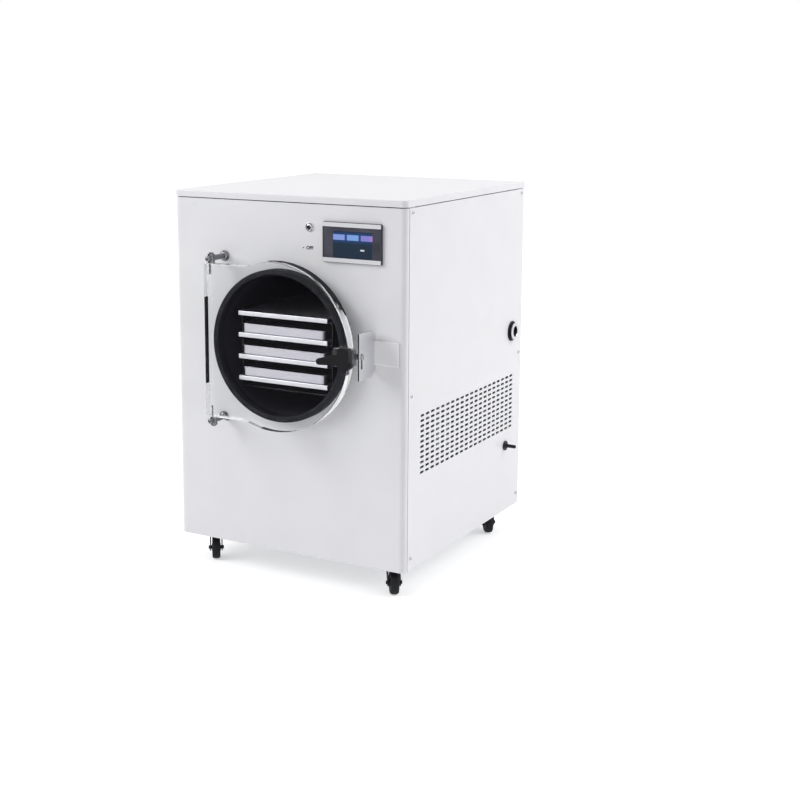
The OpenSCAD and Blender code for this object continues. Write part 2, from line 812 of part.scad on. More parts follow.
// Upright strips with a welded ledge under each shelf and a cross strip, inside the drum
module rack_frame() color("#c9cacd") place() translate([chamber_x, 0, cham_z]) {
    foot = sqrt(pow(chamber_r - 0.2, 2) - pow(rack_x + strip_t, 2));
    top = shelf_top + 6;
    inner = rack_x - snug;
    for (y = strip_ys) {
        block([-inner, y, -foot], [inner, y + strip_w, -foot + strip_t]);
        for (sx = [-1, 1]) mirror([sx < 0 ? 1 : 0, 0, 0]) {
            block([rack_x, y, -foot], [rack_x + strip_t, y + strip_w, top]);
            for (i = [1 : shelf_n])
                block([rack_x - ledge, y, shelf_z(i) - cham_z - shelf_t - strip_t],
                    [inner, y + strip_w, shelf_z(i) - cham_z - shelf_t]);
        }
    }
}

// One heated shelf with a rolled front edge
module heating_shelf(i) color("#c7c8cc") place() {
    r = 1.5;
    x0 = chamber_x - shelf_w / 2;
    z1 = shelf_z(i);
    block([x0, shelf_y0 + r, z1 - shelf_t], [x0 + shelf_w, shelf_y0 + shelf_d, z1]);
    block([x0, shelf_y0, z1 - shelf_t + r], [x0 + shelf_w, shelf_y0 + r + e, z1 - r]);
    for (z = [z1 - r, z1 - shelf_t + r]) x_cyl(shelf_y0 + r, z, x0, x0 + shelf_w, r, $fn = 24);
}

module heating_shelf_1() heating_shelf(1);
module heating_shelf_2() heating_shelf(2);
module heating_shelf_3() heating_shelf(3);
module heating_shelf_4() heating_shelf(4);

// Open tray with round corners, resting on shelf i
module tray(i) color("#c2c3c8") place()
    translate([chamber_x, shelf_y0 + tray_step + tray_d / 2, shelf_z(i)]) {
        linear_extrude(tray_t) round_rect(tray_w, tray_d, tray_r);
        linear_extrude(tray_h) difference() {
            round_rect(tray_w, tray_d, tray_r);
            round_rect(tray_w - 2 * tray_t, tray_d - 2 * tray_t, tray_r - tray_t);
        }
        translate([0, 0, tray_h - 1.5]) linear_extrude(1.5) difference() {
            round_rect(tray_w + 3, tray_d + 3, tray_r + 1.5);
            round_rect(tray_w - 2 * tray_t, tray_d - 2 * tray_t, tray_r - tray_t);
        }
    }

module tray_1() tray(2);
module tray_2() tray(3);
module tray_3() tray(4);

// ---------- refrigeration ----------

comp_c = [-comp_x, comp_y];
grommet_h = 12;
comp_foot_z = floor_z + grommet_h;
comp_z1 = comp_foot_z + comp_h;
comp_port_h = 120;
line_z = comp_foot_z + comp_port_h;
grommet_dx = 85;
grommet_dy = 60;
comp_r = comp_d / 2;
comp_stub = comp_r + 8;

module at_grommets() {
    for (sx = [-1, 1], sy = [-1, 1])
        translate([comp_c[0] + sx * grommet_dx, comp_c[1] + sy * grommet_dy, 0]) children();
}

// Welded compressor shell on its foot plate
module compressor() color("#1f1f22") place() {
    translate([comp_c[0], comp_c[1], 0]) {
        translate([0, 0, comp_foot_z]) rotate_extrude($fn = 96) polygon([
            [0, 2],
            [comp_r - 22, 2],
            [comp_r - 8, 12],
            [comp_r - 3, 26],
            [comp_r - 3, 92],
            [comp_r, 94],
            [comp_r, 100],
            [comp_r - 3, 102],
            [comp_r - 3, comp_h - 46],
            [comp_r - 9, comp_h - 24],
            [comp_r - 26, comp_h - 8],
            [comp_r - 52, comp_h],
            [0, comp_h]
        ]);
        block([-comp_r + 14, comp_r - 24, comp_foot_z + 60], [-comp_r + 58, comp_r + 4, comp_foot_z + 110]);
        y_cyl(0, line_z, -comp_stub, comp_stub, line_d / 2 + 1.5);
    }
    difference() {
        translate([comp_c[0], comp_c[1], comp_foot_z])
            linear_extrude(3) round_rect(2 * grommet_dx + 30, 2 * grommet_dy + 30, 12);
        at_grommets() translate([0, 0, comp_foot_z - 1]) cylinder(h = 5, r = 5);
    }
}

// Rubber mounts under the compressor's feet
module compressor_grommets() color("#2a2a2c") place() at_grommets()
    translate([0, 0, floor_z]) difference() {
        union() {
            cylinder(h = grommet_h, r = 12, $fn = 32);
            cylinder(h = grommet_h + 3, r = 5 - snug, $fn = 32);
        }
        translate([0, 0, -1]) cylinder(h = grommet_h + 5, r = 3, $fn = 24);
    }

cond_x1 = in_x - 30;
cond_x0 = cond_x1 - cond_t;
cond_y0 = comp_y - cond_w / 2;
cond_y1 = comp_y + cond_w / 2;
fan_z = floor_z + cond_h / 2;
fan_y = comp_y;
duct_l = 24;
duct_x0 = cond_x0 - duct_l;
ring_l = 30;
ring_x0 = duct_x0 - ring_l;
ring_r = fan_d / 2 + 4;

// Finned condenser between two end plates
module condenser() color("#b4b6ba") place() {
    pitch = (cond_h - 24) / (cond_fins - 1);
    for (y = [cond_y0, cond_y1 - 2]) block([cond_x0, y, floor_z], [cond_x1, y + 2, floor_z + cond_h]);
    for (z = [floor_z, floor_z + cond_h - 2])
        block([cond_x0, cond_y0, z], [cond_x1, cond_y1, z + 2]);
    for (i = [0 : cond_fins - 1])
        block([cond_x0 + 2, cond_y0 + 1, floor_z + 12 + i * pitch - 0.5],
            [cond_x1 - 2, cond_y1 - 1, floor_z + 12 + i * pitch + 0.5]);
    for (k = [0 : 5], x = [cond_x0 + 10, cond_x1 - 10])
        translate([x, cond_y0 + 22 + k * (cond_w - 44) / 5, floor_z + 1])
            cylinder(h = cond_h - 2, r = line_d / 2, $fn = 24);
}

// Duct, inlet ring and motor arms in front of the condenser
fan_shaft_d = 8;
arm_t = 6;
arm_x = ring_x0 - arm_t;

module fan_shroud() color("#c4c6ca") place() {
    difference() {
        union() {
            block([duct_x0, cond_y0, floor_z], [cond_x0, cond_y1, floor_z + cond_h]);
            x_cyl(fan_y, fan_z, ring_x0, duct_x0 + e, ring_r + 1.5, $fn = 96);
        }
        block([duct_x0 + 1.5, cond_y0 + 1.5, floor_z + 1.5],
            [cond_x0 + 1, cond_y1 - 1.5, floor_z + cond_h - 1.5]);
        x_cyl(fan_y, fan_z, ring_x0 - 1, duct_x0 + 2, ring_r, $fn = 96);
    }
    x_slab(arm_x, ring_x0 + e) translate([fan_y, fan_z]) {
        difference() {
            circle(ring_r + 1.5, $fn = 96);
            circle(ring_r, $fn = 96);
        }
        difference() {
            union() {
                circle(28);
                for (a = [45, 135]) rotate(a) square([2 * ring_r + 1, 12], center = true);
            }
            circle(fan_shaft_d / 2 + 1, $fn = 32);
        }
    }
}

motor_l = 45;
motor_r = 34;
motor_cap_l = 7;
motor_cap_r = 14;

// Motor on the arms' outer side, its shaft running on through them
module fan_motor() color("#55585d") place() {
    x_cyl(fan_y, fan_z, arm_x - motor_l, arm_x, motor_r);
    x_cyl(fan_y, fan_z, arm_x - motor_l - motor_cap_l, arm_x - motor_l + e, motor_cap_r);
    x_cyl(fan_y, fan_z, arm_x - e, duct_x0, fan_shaft_d / 2, $fn = 32);
}

// Bladed wheel on the motor shaft
module fan_blades() color("#2c2d30") place() translate([0, fan_y, fan_z]) {
    x0 = ring_x0 + 4;
    x1 = duct_x0 - 2;
    difference() {
        translate([x0, 0, 0]) rotate([0, 90, 0]) cylinder(h = x1 - x0, r = 25);
        translate([x0 - 1, 0, 0]) rotate([0, 90, 0]) cylinder(h = x1 - x0 + 2, r = fan_shaft_d / 2 + snug, $fn = 32);
    }
    difference() {
        intersection() {
            for (i = [0 : fan_blades_n - 1]) rotate([i * 360 / fan_blades_n, 0, 0])
                translate([(x0 + x1) / 2, 0, fan_d / 4]) rotate([0, 0, 22])
                    cube([2, 62, fan_d / 2 + 4], center = true);
            translate([x0, 0, 0]) rotate([0, 90, 0]) cylinder(h = x1 - x0, r = fan_d / 2, $fn = 96);
        }
        translate([x0 - 1, 0, 0]) rotate([0, 90, 0]) cylinder(h = x1 - x0 + 2, r = 24);
    }
}

drier_l = 100;
drier_r = 22;
drier_x0 = 5;
drier_back = 50;
drier_up = 40;
drier_neck = 8;
drier_cone = 20;
drier_step = 6;
clip_half = 10;
clip_t = 2;
drier_y = cond_y1 + drier_back;
drier_z = floor_z + drier_up;
cond_line_x = cond_x1 - 14;

// Filter drier held in a clip on the base plate
module filter_drier() color("#a8623a") place() {
    x1 = drier_x0 + drier_l;
    translate([drier_x0, drier_y, drier_z]) rotate([0, 90, 0]) rotate_extrude() polygon([
        [0, 0],
        [line_d / 2 + 1.5, 0],
        [line_d / 2 + 1.5, drier_neck],
        [drier_r - drier_step, 1.5 * drier_neck],
        [drier_r, drier_cone],
        [drier_r, drier_l - drier_cone],
        [drier_r - drier_step, drier_l - 1.5 * drier_neck],
        [line_d / 2 + 1.5, drier_l - drier_neck],
        [line_d / 2 + 1.5, drier_l],
        [0, drier_l]
    ]);
    mid = (drier_x0 + x1) / 2;
    block([mid - clip_half, drier_y - drier_r - clip_t, floor_z],
        [mid + clip_half, drier_y + drier_r + clip_t, floor_z + clip_t]);
    for (s = [-1, 1])
        block([mid - clip_half, drier_y + s * (drier_r + clip_t / 2) - clip_t / 2, floor_z],
            [mid + clip_half, drier_y + s * (drier_r + clip_t / 2) + clip_t / 2, drier_z + clip_t]);
}

bend = 12;
riser_y = max(foam_back, drier_y + 1) + 35;
line_drop = cham_z - foam_or - 24;

// Lines from compressor to condenser, on to the drier and up to the coil
module condenser_lines() color("#b87346") place() {
    r = line_d / 2;
    high = line_z;
    low = drier_z;
    y1 = comp_c[1] + comp_stub;
    bent_rod([
        [comp_c[0], y1, high],
        [comp_c[0], drier_y - 10, high],
        [cond_line_x, drier_y - 10, high],
        [cond_line_x, cond_y1, high]
    ], r, bend, $fn = 24);
    bent_rod([
        [cond_line_x, cond_y1, low],
        [cond_line_x, drier_y, low],
        [drier_x0 + drier_l, drier_y, low]
    ], r, bend, $fn = 24);
    bent_rod([
        [drier_x0, drier_y, low],
        [-40, drier_y, low],
        [-40, riser_y, low],
        [-40, riser_y, coil_low],
        [chamber_x, riser_y, coil_low],
        [chamber_x, liquid_y + coil_d / 2, coil_low]
    ], r, bend, $fn = 24);
}

// Line from the coil's front end back to the compressor
module suction_line() color("#b87346") place()
    bent_rod([
        [chamber_x, suction_y, coil_low - coil_d / 2],
        [chamber_x, suction_y, line_drop],
        [comp_c[0], suction_y, line_drop],
        [comp_c[0], suction_y, line_z],
        [comp_c[0], comp_c[1] - comp_stub, line_z]
    ], line_d / 2, bend, $fn = 24);

// ---------- pipework and electrics ----------

pipe_r = vac_pipe_d / 2;
pipe_bend = 40;
gauge_x = stub_x + 75;
gauge_stub_h = 14;
tail_x = in_x - 24;
hose_r = drain_hose_d / 2;
grommet_neck_d = vac_pipe_d + 8;
drain_thread_d = 14;

// Vacuum pipe from the drum's end plate to the side port, with a stub for the gauge
module vacuum_pipe() color("#b9babe") place() difference() {
    union() {
        bent_rod([
            [stub_x, cham_back, port_axis_z],
            [stub_x, port_y, port_axis_z],
            [tail_x, port_y, port_axis_z]
        ], pipe_r, pipe_bend);
        translate([gauge_x, port_y, port_axis_z]) cylinder(h = pipe_r + gauge_stub_h, r = 9);
    }
    bent_rod([
        [stub_x, cham_back - 1, port_axis_z],
        [stub_x, port_y, port_axis_z],
        [tail_x + 1, port_y, port_axis_z]
    ], pipe_r - pipe_wall, pipe_bend);
    translate([gauge_x, port_y, port_axis_z]) cylinder(h = pipe_r + gauge_stub_h + 1, r = 6);
}

// Flanged connector for the pump hose, reaching through the side panel
module vacuum_port() color("#c4c5c9") place()
    translate([tail_x, port_y, port_axis_z]) rotate([0, 90, 0]) rotate_extrude() {
        x1 = half_w + port_out - tail_x;
        polygon([
            [port_bore / 2, 0],
            [pipe_r, 0],
            [pipe_r, x1 - 6],
            [port_flange_d / 2 - 1.5, x1 - 3],
            [port_flange_d / 2, x1 - 2.6],
            [port_flange_d / 2, x1 - 0.4],
            [port_flange_d / 2 - 0.4, x1],
            [port_bore / 2 + 1, x1],
            [port_bore / 2, x1 - 1]
        ]);
    }

// Rubber collar between connector and side panel
module port_grommet() color("#1d1d20") place()
    translate([in_x - 3, port_y, port_axis_z]) rotate([0, 90, 0]) rotate_extrude() {
        neck = grommet_neck_d / 2;
        polygon([
            [pipe_r + snug, 0],
            [grommet_d / 2 - 1, 0],
            [grommet_d / 2 - 1, 3],
            [neck, 3],
            [neck, 3 + sheet],
            [grommet_d / 2, 3 + sheet],
            [grommet_d / 2, 5 + sheet],
            [grommet_d / 2 - 1, 6 + sheet],
            [pipe_r + snug, 6 + sheet]
        ]);
    }

// Vacuum gauge head on the pipe's stub
module vacuum_gauge() color("#3a3c40") place()
    translate([gauge_x, port_y, port_axis_z + pipe_r + gauge_stub_h]) rotate_extrude() polygon([
        [0, 0],
        [11, 0],
        [11, 6],
        [15, 8],
        [15, 58],
        [13, 60],
        [5, 60],
        [5, 66],
        [0, 66]
    ]);

// Hose from the drum's drain stub down to the side nozzle
module drain_hose() color("#d8dadd") place() difference() {
    pts = [
        [drain_stub_x, foam_back + 4, drain_stub_z],
        [drain_stub_x, drain_y, drain_stub_z],
        [drain_stub_x, drain_y, drain_axis_z],
        [tail_x + 6, drain_y, drain_axis_z]
    ];
    bent_rod(pts, hose_r, 22, $fn = 32);
    bent_rod([
        pts[0] - [0, 1, 0],
        pts[1],
        pts[2],
        pts[3] + [1, 0, 0]
    ], drain_stub_r + snug, 22, $fn = 32);
}

// Black drain nozzle: hose tail, thread and nut inside, flange and spout outside
module drain_nozzle() color("#17171a") place()
    translate([tail_x - 10, drain_y, drain_axis_z]) rotate([0, 90, 0]) rotate_extrude($fn = 48) {
        x_in = in_x - tail_x + 10;
        x_out = half_w - tail_x + 10;
        x1 = x_out + drain_out;
        bore = drain_stub_r - 1.5;
        polygon([
            [bore, 0],
            [drain_stub_r, 0],
            [drain_stub_r, 16 + snug],
            [drain_flange_d / 2, 16 + snug],
            [drain_flange_d / 2, x_in - snug],
            [drain_thread_d / 2, x_in - snug],
            [drain_thread_d / 2, x_out],
            [drain_flange_d / 2 - 0.6, x_out],
            [drain_flange_d / 2, x_out + 0.6],
            [drain_flange_d / 2, x_out + 3.4],
            [drain_flange_d / 2 - 0.6, x_out + 4],
            [spout_d / 2 + 2, x_out + 4],
            [spout_d / 2, x_out + 9],
            [spout_d / 2, x1 - 0.6],
            [spout_d / 2 - 0.6, x1],
            [bore, x1]
        ]);
    }

deck_gap = 4;
deck_t = 1.5;
deck_lip = 12;
deck_tab = 73;
deck_z = cham_z + foam_or + deck_gap;
deck_y0 = 60;
deck_y1 = back_in - post_leg - 2;

// Sheet deck over the foam jacket, flanged down at front and back
module electrics_shelf() color("#d5d7da") place() {
    x = in_x - snug;
    block([-x, deck_y0, deck_z], [x, deck_y1, deck_z + deck_t]);
    for (y = [deck_y0, deck_y1 - deck_t]) for (sx = [-1, 1])
        block([sx > 0 ? x - deck_tab : -x, y, deck_z - deck_lip],
            [sx > 0 ? x : -x + deck_tab, y + deck_t, deck_z + e]);
}

box_z = deck_z + deck_t;
box_x0 = 20;
box_x1 = 260;
box_y0 = 80;
box_y1 = 310;
box_h = 82;

// Closed sheet box for supply and control boards
module control_box() color("#cfd1d4") place() difference() {
    block([box_x0, box_y0, box_z], [box_x1, box_y1, box_z + box_h]);
    block([box_x0 + 1.5, box_y0 + 1.5, box_z + 1.5], [box_x1 - 1.5, box_y1 - 1.5, box_z + box_h - 1.5]);
    for (k = [0 : 6])
        block([box_x0 - 1, box_y0 + 40 + k * 24, box_z + 20], [box_x0 + 3, box_y0 + 46 + k * 24, box_z + 60]);
}

// Mains inlet in the back panel, three pins in its recess
module power_inlet() color("#1b1b1e") place() translate([inlet_x, cab_d, inlet_z]) {
    difference() {
        union() {
            block([-inlet_w / 2, -22, -inlet_h / 2], [inlet_w / 2, e, inlet_h / 2]);
            translate([0, inlet_out, 0]) rotate([90, 0, 0]) linear_extrude(inlet_out)
                round_rect(inlet_w + 10, inlet_h + 8, 4);
        }
        translate([0, 4, 0]) rotate([90, 0, 0]) linear_extrude(20) round_rect(25, 17, 3);
    }
    for (p = [[-7, -2.5], [0, 2.5], [7, -2.5]])
        block([p[0] - 1, -17, p[1] - 3], [p[0] + 1, -2, p[1] + 3]);
}

// ---------- controls ----------

screen_zc = ground_gap + screen_z;
panel_y0 = -screen_t;
glass_t = 1.2;
glass_w = screen_w - 2 * glass_margin;
glass_h = screen_h - 2 * rail_h;

// Screen frame with raised rails above and below the glass, body through the panel
module screen_housing() color("#3b3c48") place() translate([screen_x, 0, screen_zc]) difference() {
    union() {
        translate([0, 0, 0]) rotate([90, 0, 0]) linear_extrude(screen_t - 1) round_rect(screen_w, screen_h, 3);
        translate([0, -screen_t + 1 + e, 0]) rotate([90, 0, 0]) linear_extrude(1)
            round_rect(screen_w - 2, screen_h - 2, 2);
        block([-screen_cut_w / 2, -e, -screen_cut_h / 2], [screen_cut_w / 2, screen_body_d, screen_cut_h / 2]);
    }
    block([-glass_w / 2 - snug, -screen_t - 1, -glass_h / 2 - snug],
        [glass_w / 2 + snug, -screen_t + 1.6, glass_h / 2 + snug]);
    block([-screen_cut_w / 2 + 2, 2, -screen_cut_h / 2 + 2],
        [screen_cut_w / 2 - 2, screen_body_d - 2, screen_cut_h / 2 - 2]);
}

// Cover glass set just below the rails
module screen_glass() color("#2f3a46") place() translate([screen_x, 0, screen_zc])
    block([-glass_w / 2, -screen_t + 1.6 - glass_t, -glass_h / 2], [glass_w / 2, -screen_t + 1.6, glass_h / 2]);

collar_out = 2.4;
button_out = 1.2;
cap_l = 9;

// Chromed collar with a neck through the panel and a nut behind it
module button_collar() color("#c8c9cd") place()
    turned_front(button_x, 0, ground_gap + button_z, $fn = 64) {
        r = button_d / 2 + button_fit;
        neck = button_neck_d / 2;
        polygon([
            [r, -22],
            [neck, -22],
            [neck, -4.5],
            [neck + 3, -4.5],
            [neck + 3, -sheet - snug],
            [neck, -sheet - snug],
            [neck, 0],
            [collar_d / 2, 0],
            [collar_d / 2, collar_out - 1],
            [collar_d / 2 - 1, collar_out],
            [r + 0.4, collar_out],
            [r, collar_out - 0.4]
        ]);
        polygon([[0, -24], [neck, -24], [neck, -22 + e], [0, -22 + e]]);
    }

// Domed push button that slides in the collar
module power_button() color("#d3d4d8") place()
    turned_front(button_x, 0, ground_gap + button_z, $fn = 64) {
        r = button_d / 2;
        top = collar_out + button_out;
        polygon([
            [0, top - cap_l],
            [r, top - cap_l],
            [r, top - 1],
            [r * 0.92, top - 0.45],
            [r * 0.75, top - 0.15],
            [r * 0.5, top],
            [0, top]
        ]);
    }

// ---------- door ----------

// Two hinge posts: stud and nut behind the panel, domed rose, post and eye in front
module hinge_posts() color("#c6c7cb") place() difference() {
    for (sz = [-1, 1]) hinge_post(cham_z + sz * eye_z);
    translate([hinge_x, hinge_y, cham_z - 2 * eye_z]) cylinder(h = 4 * eye_z, r = pin_d / 2 + snug, $fn = 32);
}

module hinge_post(z) {
    turned_front(hinge_x, 0, z) polygon([
        [0, -16],
        [stud_d / 2, -16],
        [stud_d / 2, -7],
        [stud_d * 0.9, -7],
        [stud_d * 0.9, -sheet - snug],
        [stud_d / 2, -sheet - snug],
        [stud_d / 2, 0],
        [rose_d / 2, 0],
        [rose_d / 2, 2],
        [rose_d / 2 - 1.2, 4.6],
        [rose_d / 2 - 3.4, rose_h - 0.8],
        [hinge_post_d / 2, rose_h],
        [hinge_post_d / 2, -hinge_y + post_tip - 5],
        [hinge_post_d / 2 - 1, -hinge_y + post_tip - 2],
        [hinge_post_d / 2 - 3, -hinge_y + post_tip - 0.4],
        [0, -hinge_y + post_tip]
    ]);
    translate([hinge_x, hinge_y, z - eye_h / 2]) cylinder(h = eye_h, r = eye_d / 2);
}

pin_head = 9;

// Pins pressed into the eyes and reaching into the door's edge
module hinge_pins() color("#8f9096") place() for (sz = [-1, 1])
    translate([hinge_x, hinge_y, cham_z]) mirror([0, 0, sz < 0 ? 1 : 0])
        translate([0, 0, door_half_h]) {
            translate([0, 0, -pin_depth + 1])
                cylinder(h = pin_depth - 1 + eye_air + eye_h + e, r = pin_d / 2, $fn = 32);
            translate([0, 0, eye_air + eye_h]) cylinder(h = 3, r = pin_head / 2, $fn = 32);
        }

// Door outline: round plate with a straight hinge edge, seen from the front
module door_outline() {
    x0 = -hinge_dx - door_edge;
    x1 = -sqrt(door_r * door_r - door_half_h * door_half_h);
    translate([chamber_x, cham_z]) {
        intersection() {
            circle(door_r, $fn = 192);
            translate([x0, -door_r - 1]) square([door_r - x0 + 1, 2 * door_r + 2]);
        }
        translate([x0, -door_half_h]) square([x1 - x0, 2 * door_half_h]);
    }
}

// Thick clear door plate with pin bores, its back hinge edge bevelled to swing clear
module door_plate() color("#e9ebee") place() difference() {
    y_slab(door_front, door_back) door_outline();
    for (sz = [-1, 1]) translate([hinge_x, hinge_y, cham_z]) mirror([0, 0, sz < 0 ? 1 : 0])
        translate([0, 0, door_half_h - pin_depth]) cylinder(h = pin_depth + 1, r = pin_d / 2 + pin_fit, $fn = 32);
    translate([hinge_x - door_edge, door_back, cham_z]) rotate([0, 0, 45])
        cube([door_bevel * sqrt(2), door_bevel * sqrt(2), 2 * door_half_h + 2], center = true);
}

// ---------- latch ----------

// Steel plate standing on the front panel, with a slot for the tongue
module latch_keeper() color("#a9aaa6") place() difference() {
    cut = 14;
    union() {
        x_slab(keeper_x, keeper_x + keeper_t) translate([0, cham_z]) polygon([
            [-keeper_out, -keeper_h / 2],
            [-keeper_out, keeper_h / 2],
            [-cut, keeper_h / 2],
            [0, keeper_h / 2 - cut],
            [0, -keeper_h / 2 + cut],
            [-cut, -keeper_h / 2]
        ]);
        block([keeper_x - keeper_foot, -keeper_t, cham_z - keeper_h / 2 + cut],
            [keeper_x + e, 0, cham_z + keeper_h / 2 - cut]);
    }
    block([keeper_x - 1, tongue_y - slot_air, cham_z - tongue_reach - slot_air],
        [keeper_x + keeper_t + 1, tongue_y + tongue_t + slot_air, cham_z + tongue_w / 2 + slot_air]);
    for (z = [-24, 24])
        y_cyl(keeper_x - keeper_foot / 2, cham_z + z, -keeper_t - 1, 1, 2.5, $fn = 32);
}

// Flat white strip from the keeper towards the cabinet's edge
module latch_bar() color("#e9e9ec") place() {
    ease = 1.5;
    x_slab(keeper_x + keeper_t, half_w - bar_stop) translate([0, cham_z]) polygon([
        [0, -bar_h / 2],
        [-bar_t + ease, -bar_h / 2],
        [-bar_t, -bar_h / 2 + ease],
        [-bar_t, bar_h / 2 - ease],
        [-bar_t + ease, bar_h / 2],
        [0, bar_h / 2]
    ]);
}

// Block on the door's rim that carries the spindle
module latch_body() color("#b5b6ba") place() difference() {
    y_slab(latch_front, door_front) translate([(latch_left + latch_right) / 2, cham_z])
        round_rect(latch_w, latch_h, 5);
    y_cyl(spindle_x, cham_z, latch_front - 1, door_front + 1, spindle_d / 2 + spindle_fit);
}

tip_drop = 9;
tip_r = 6.5;
ball_dx = 13;
ball_dz = 12;
lever_grip = 9;

// Moulded lever: round-cornered hub, tapering arm and a ball-ended tail
module latch_lever() color("#141418") place() difference() {
    tip_x = -lever_len + tip_r;
    union() {
        translate([spindle_x, 0, cham_z]) {
            y_slab(lever_front, lever_back) round_rect(lever_hub_w, lever_hub_h, 7);
            y_slab(lever_front + 1, lever_back - 4) {
                polygon([
                    [0, 13],
                    [-lever_hub_w / 2, 11],
                    [tip_x, -tip_drop + tip_r],
                    [tip_x, -tip_drop - tip_r],
                    [-lever_hub_w / 2, -13],
                    [0, -15]
                ]);
                translate([tip_x, -tip_drop]) circle(tip_r);
            }
            translate([ball_dx, (lever_front + lever_back) / 2, -ball_dz]) sphere(tail_ball_d / 2, $fn = 32);
        }
    }
    y_cyl(spindle_x, cham_z, lever_back - lever_grip, lever_back + 1, spindle_d / 2 + snug);
}

// Spindle through the latch block, with the tongue at its inner end
module latch_spindle() color("#9a9ba0") place() {
    y1 = tongue_y + tongue_t;
    y_cyl(spindle_x, cham_z, lever_back - lever_grip + butt, door_front + butt + e, spindle_d / 2);
    y_cyl(spindle_x, cham_z, door_front + butt, y1, 7.5);
    y_slab(tongue_y, y1) translate([spindle_x, cham_z]) {
        translate([0, -tongue_w / 2]) square([tongue_reach - 3, tongue_w]);
        translate([tongue_reach - 3, 0]) intersection() {
            circle(tongue_w / 2);
            translate([0, -tongue_w / 2]) square([3, tongue_w]);
        }
    }
}

// ---------- castors ----------

race_h = 6;
race_r = 20;
pin_r = 5;
crown_z1 = base_z - castor_plate_t - race_h - butt;
crown_h = 6;
crown_r = 21;
axle_r = 4;
leg_t = 2.5;
leg_w = wheel_w / 2 + 1.5;

module castor_frame(sx, sy) {
    translate([castor_xy(sx, sy)[0], castor_xy(sx, sy)[1], 0]) children();
}

// Top plates with studs, raceways and kingpins
module castor_plates() color("#b9babd") place() for (sx = [-1, 1], sy = [-1, 1]) castor_frame(sx, sy) {
    translate([0, 0, base_z - castor_plate_t])
        linear_extrude(castor_plate_t) round_rect(castor_plate, castor_plate, 4);
    for (bx = [-1, 1], by = [-1, 1])
        translate([bx * castor_hole, by * castor_hole, base_z - castor_plate_t])
            cylinder(h = castor_plate_t + base_t + 6, r = castor_bolt_d / 2, $fn = 24);
    translate([0, 0, base_z - castor_plate_t - race_h])
        cylinder(h = race_h + e, r1 = race_r, r2 = race_r - 3);
    translate([0, 0, crown_z1 - crown_h - butt]) cylinder(h = crown_h + race_h, r = pin_r);
    translate([0, 0, crown_z1 - crown_h - butt - 3]) cylinder(h = 3, r = pin_r + 2);
}

// Swivel fork: crown on the kingpin, two raked legs and the axle
module castor_fork(sx, sy) color("#18181b") place() castor_frame(sx, sy) rotate([0, 0, castor_turn - 90]) {
    z0 = crown_z1 - crown_h;
    difference() {
        translate([0, 0, z0]) cylinder(h = crown_h, r = crown_r);
        translate([0, 0, z0 - 1]) cylinder(h = crown_h + 2, r = pin_r + snug);
    }
    for (s = [-1, 1]) y_slab(s > 0 ? leg_w : -leg_w - leg_t, s > 0 ? leg_w + leg_t : -leg_w) {
        polygon([
            [-14, z0 + e],
            [-14, z0 + 3],
            [14, z0 + 3],
            [14, z0 + e],
            [castor_trail + 8, wheel_d / 2],
            [castor_trail - 8, wheel_d / 2]
        ]);
        translate([castor_trail, wheel_d / 2]) circle(8);
    }
    y_cyl(castor_trail, wheel_d / 2, -leg_w - leg_t - 3, leg_w + leg_t + 3, axle_r, $fn = 32);
}

module castor_fork_fl() castor_fork(-1, -1);
module castor_fork_fr() castor_fork(1, -1);
module castor_fork_rl() castor_fork(-1, 1);
module castor_fork_rr() castor_fork(1, 1);

// Wheel with a raised hub and a rounded tread
module castor_wheel(sx, sy) color("#1b1b1e") place() castor_frame(sx, sy) rotate([0, 0, castor_turn - 90])
    translate([castor_trail, 0, wheel_d / 2]) rotate([90, 0, 0]) rotate_extrude($fn = 96) {
        r = wheel_d / 2;
        w = wheel_w / 2;
        polygon([
            [axle_r + snug, -w],
            [axle_r + 4, -w],
            [axle_r + 5, -w + 3],
            [r - 7, -w + 3],
            [r - 5, -w + 1],
            [r - 3, -w + 1],
            [r - 0.9, -w + 3],
            [r, -w + 6],
            [r, w - 6],
            [r - 0.9, w - 3],
            [r - 3, w - 1],
            [r - 5, w - 1],
            [r - 7, w - 3],
            [axle_r + 5, w - 3],
            [axle_r + 4, w],
            [axle_r + snug, w]
        ]);
    }

module castor_wheel_fl() castor_wheel(-1, -1);
module castor_wheel_fr() castor_wheel(1, -1);
module castor_wheel_rl() castor_wheel(-1, 1);
module castor_wheel_rr() castor_wheel(1, 1);

base_pan();
corner_posts();
chamber_cradle();
front_panel();
left_panel();
right_panel();
back_panel();
top_cover();
panel_screws();
chamber();
door_gasket();
foam_jacket();
evaporator_coil();
rack_frame();
heating_shelf_1();
heating_shelf_2();
heating_shelf_3();
heating_shelf_4();
tray_1();
tray_2();
tray_3();
compressor();
compressor_grommets();
condenser();
fan_shroud();
fan_motor();
fan_blades();
filter_drier();
condenser_lines();
suction_line();
vacuum_pipe();
vacuum_port();
port_grommet();
vacuum_gauge();
drain_hose();
drain_nozzle();
electrics_shelf();
control_box();
power_inlet();
screen_housing();
screen_glass();
button_collar();
power_button();
hinge_posts();
hinge_pins();
latch_keeper();
latch_bar();
door_plate();
latch_body();
latch_lever();
latch_spindle();
castor_plates();
castor_fork_fl();
castor_fork_fr();
castor_fork_rl();
castor_fork_rr();
castor_wheel_fl();
castor_wheel_fr();
castor_wheel_rl();
castor_wheel_rr();
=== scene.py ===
"""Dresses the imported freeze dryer: casing, door, chamber, controls, fittings, castors and studio."""

import json
import math

import bmesh
import bpy
from bpy.props import FloatProperty, IntProperty, PointerProperty, StringProperty
from mathutils import Matrix, Vector

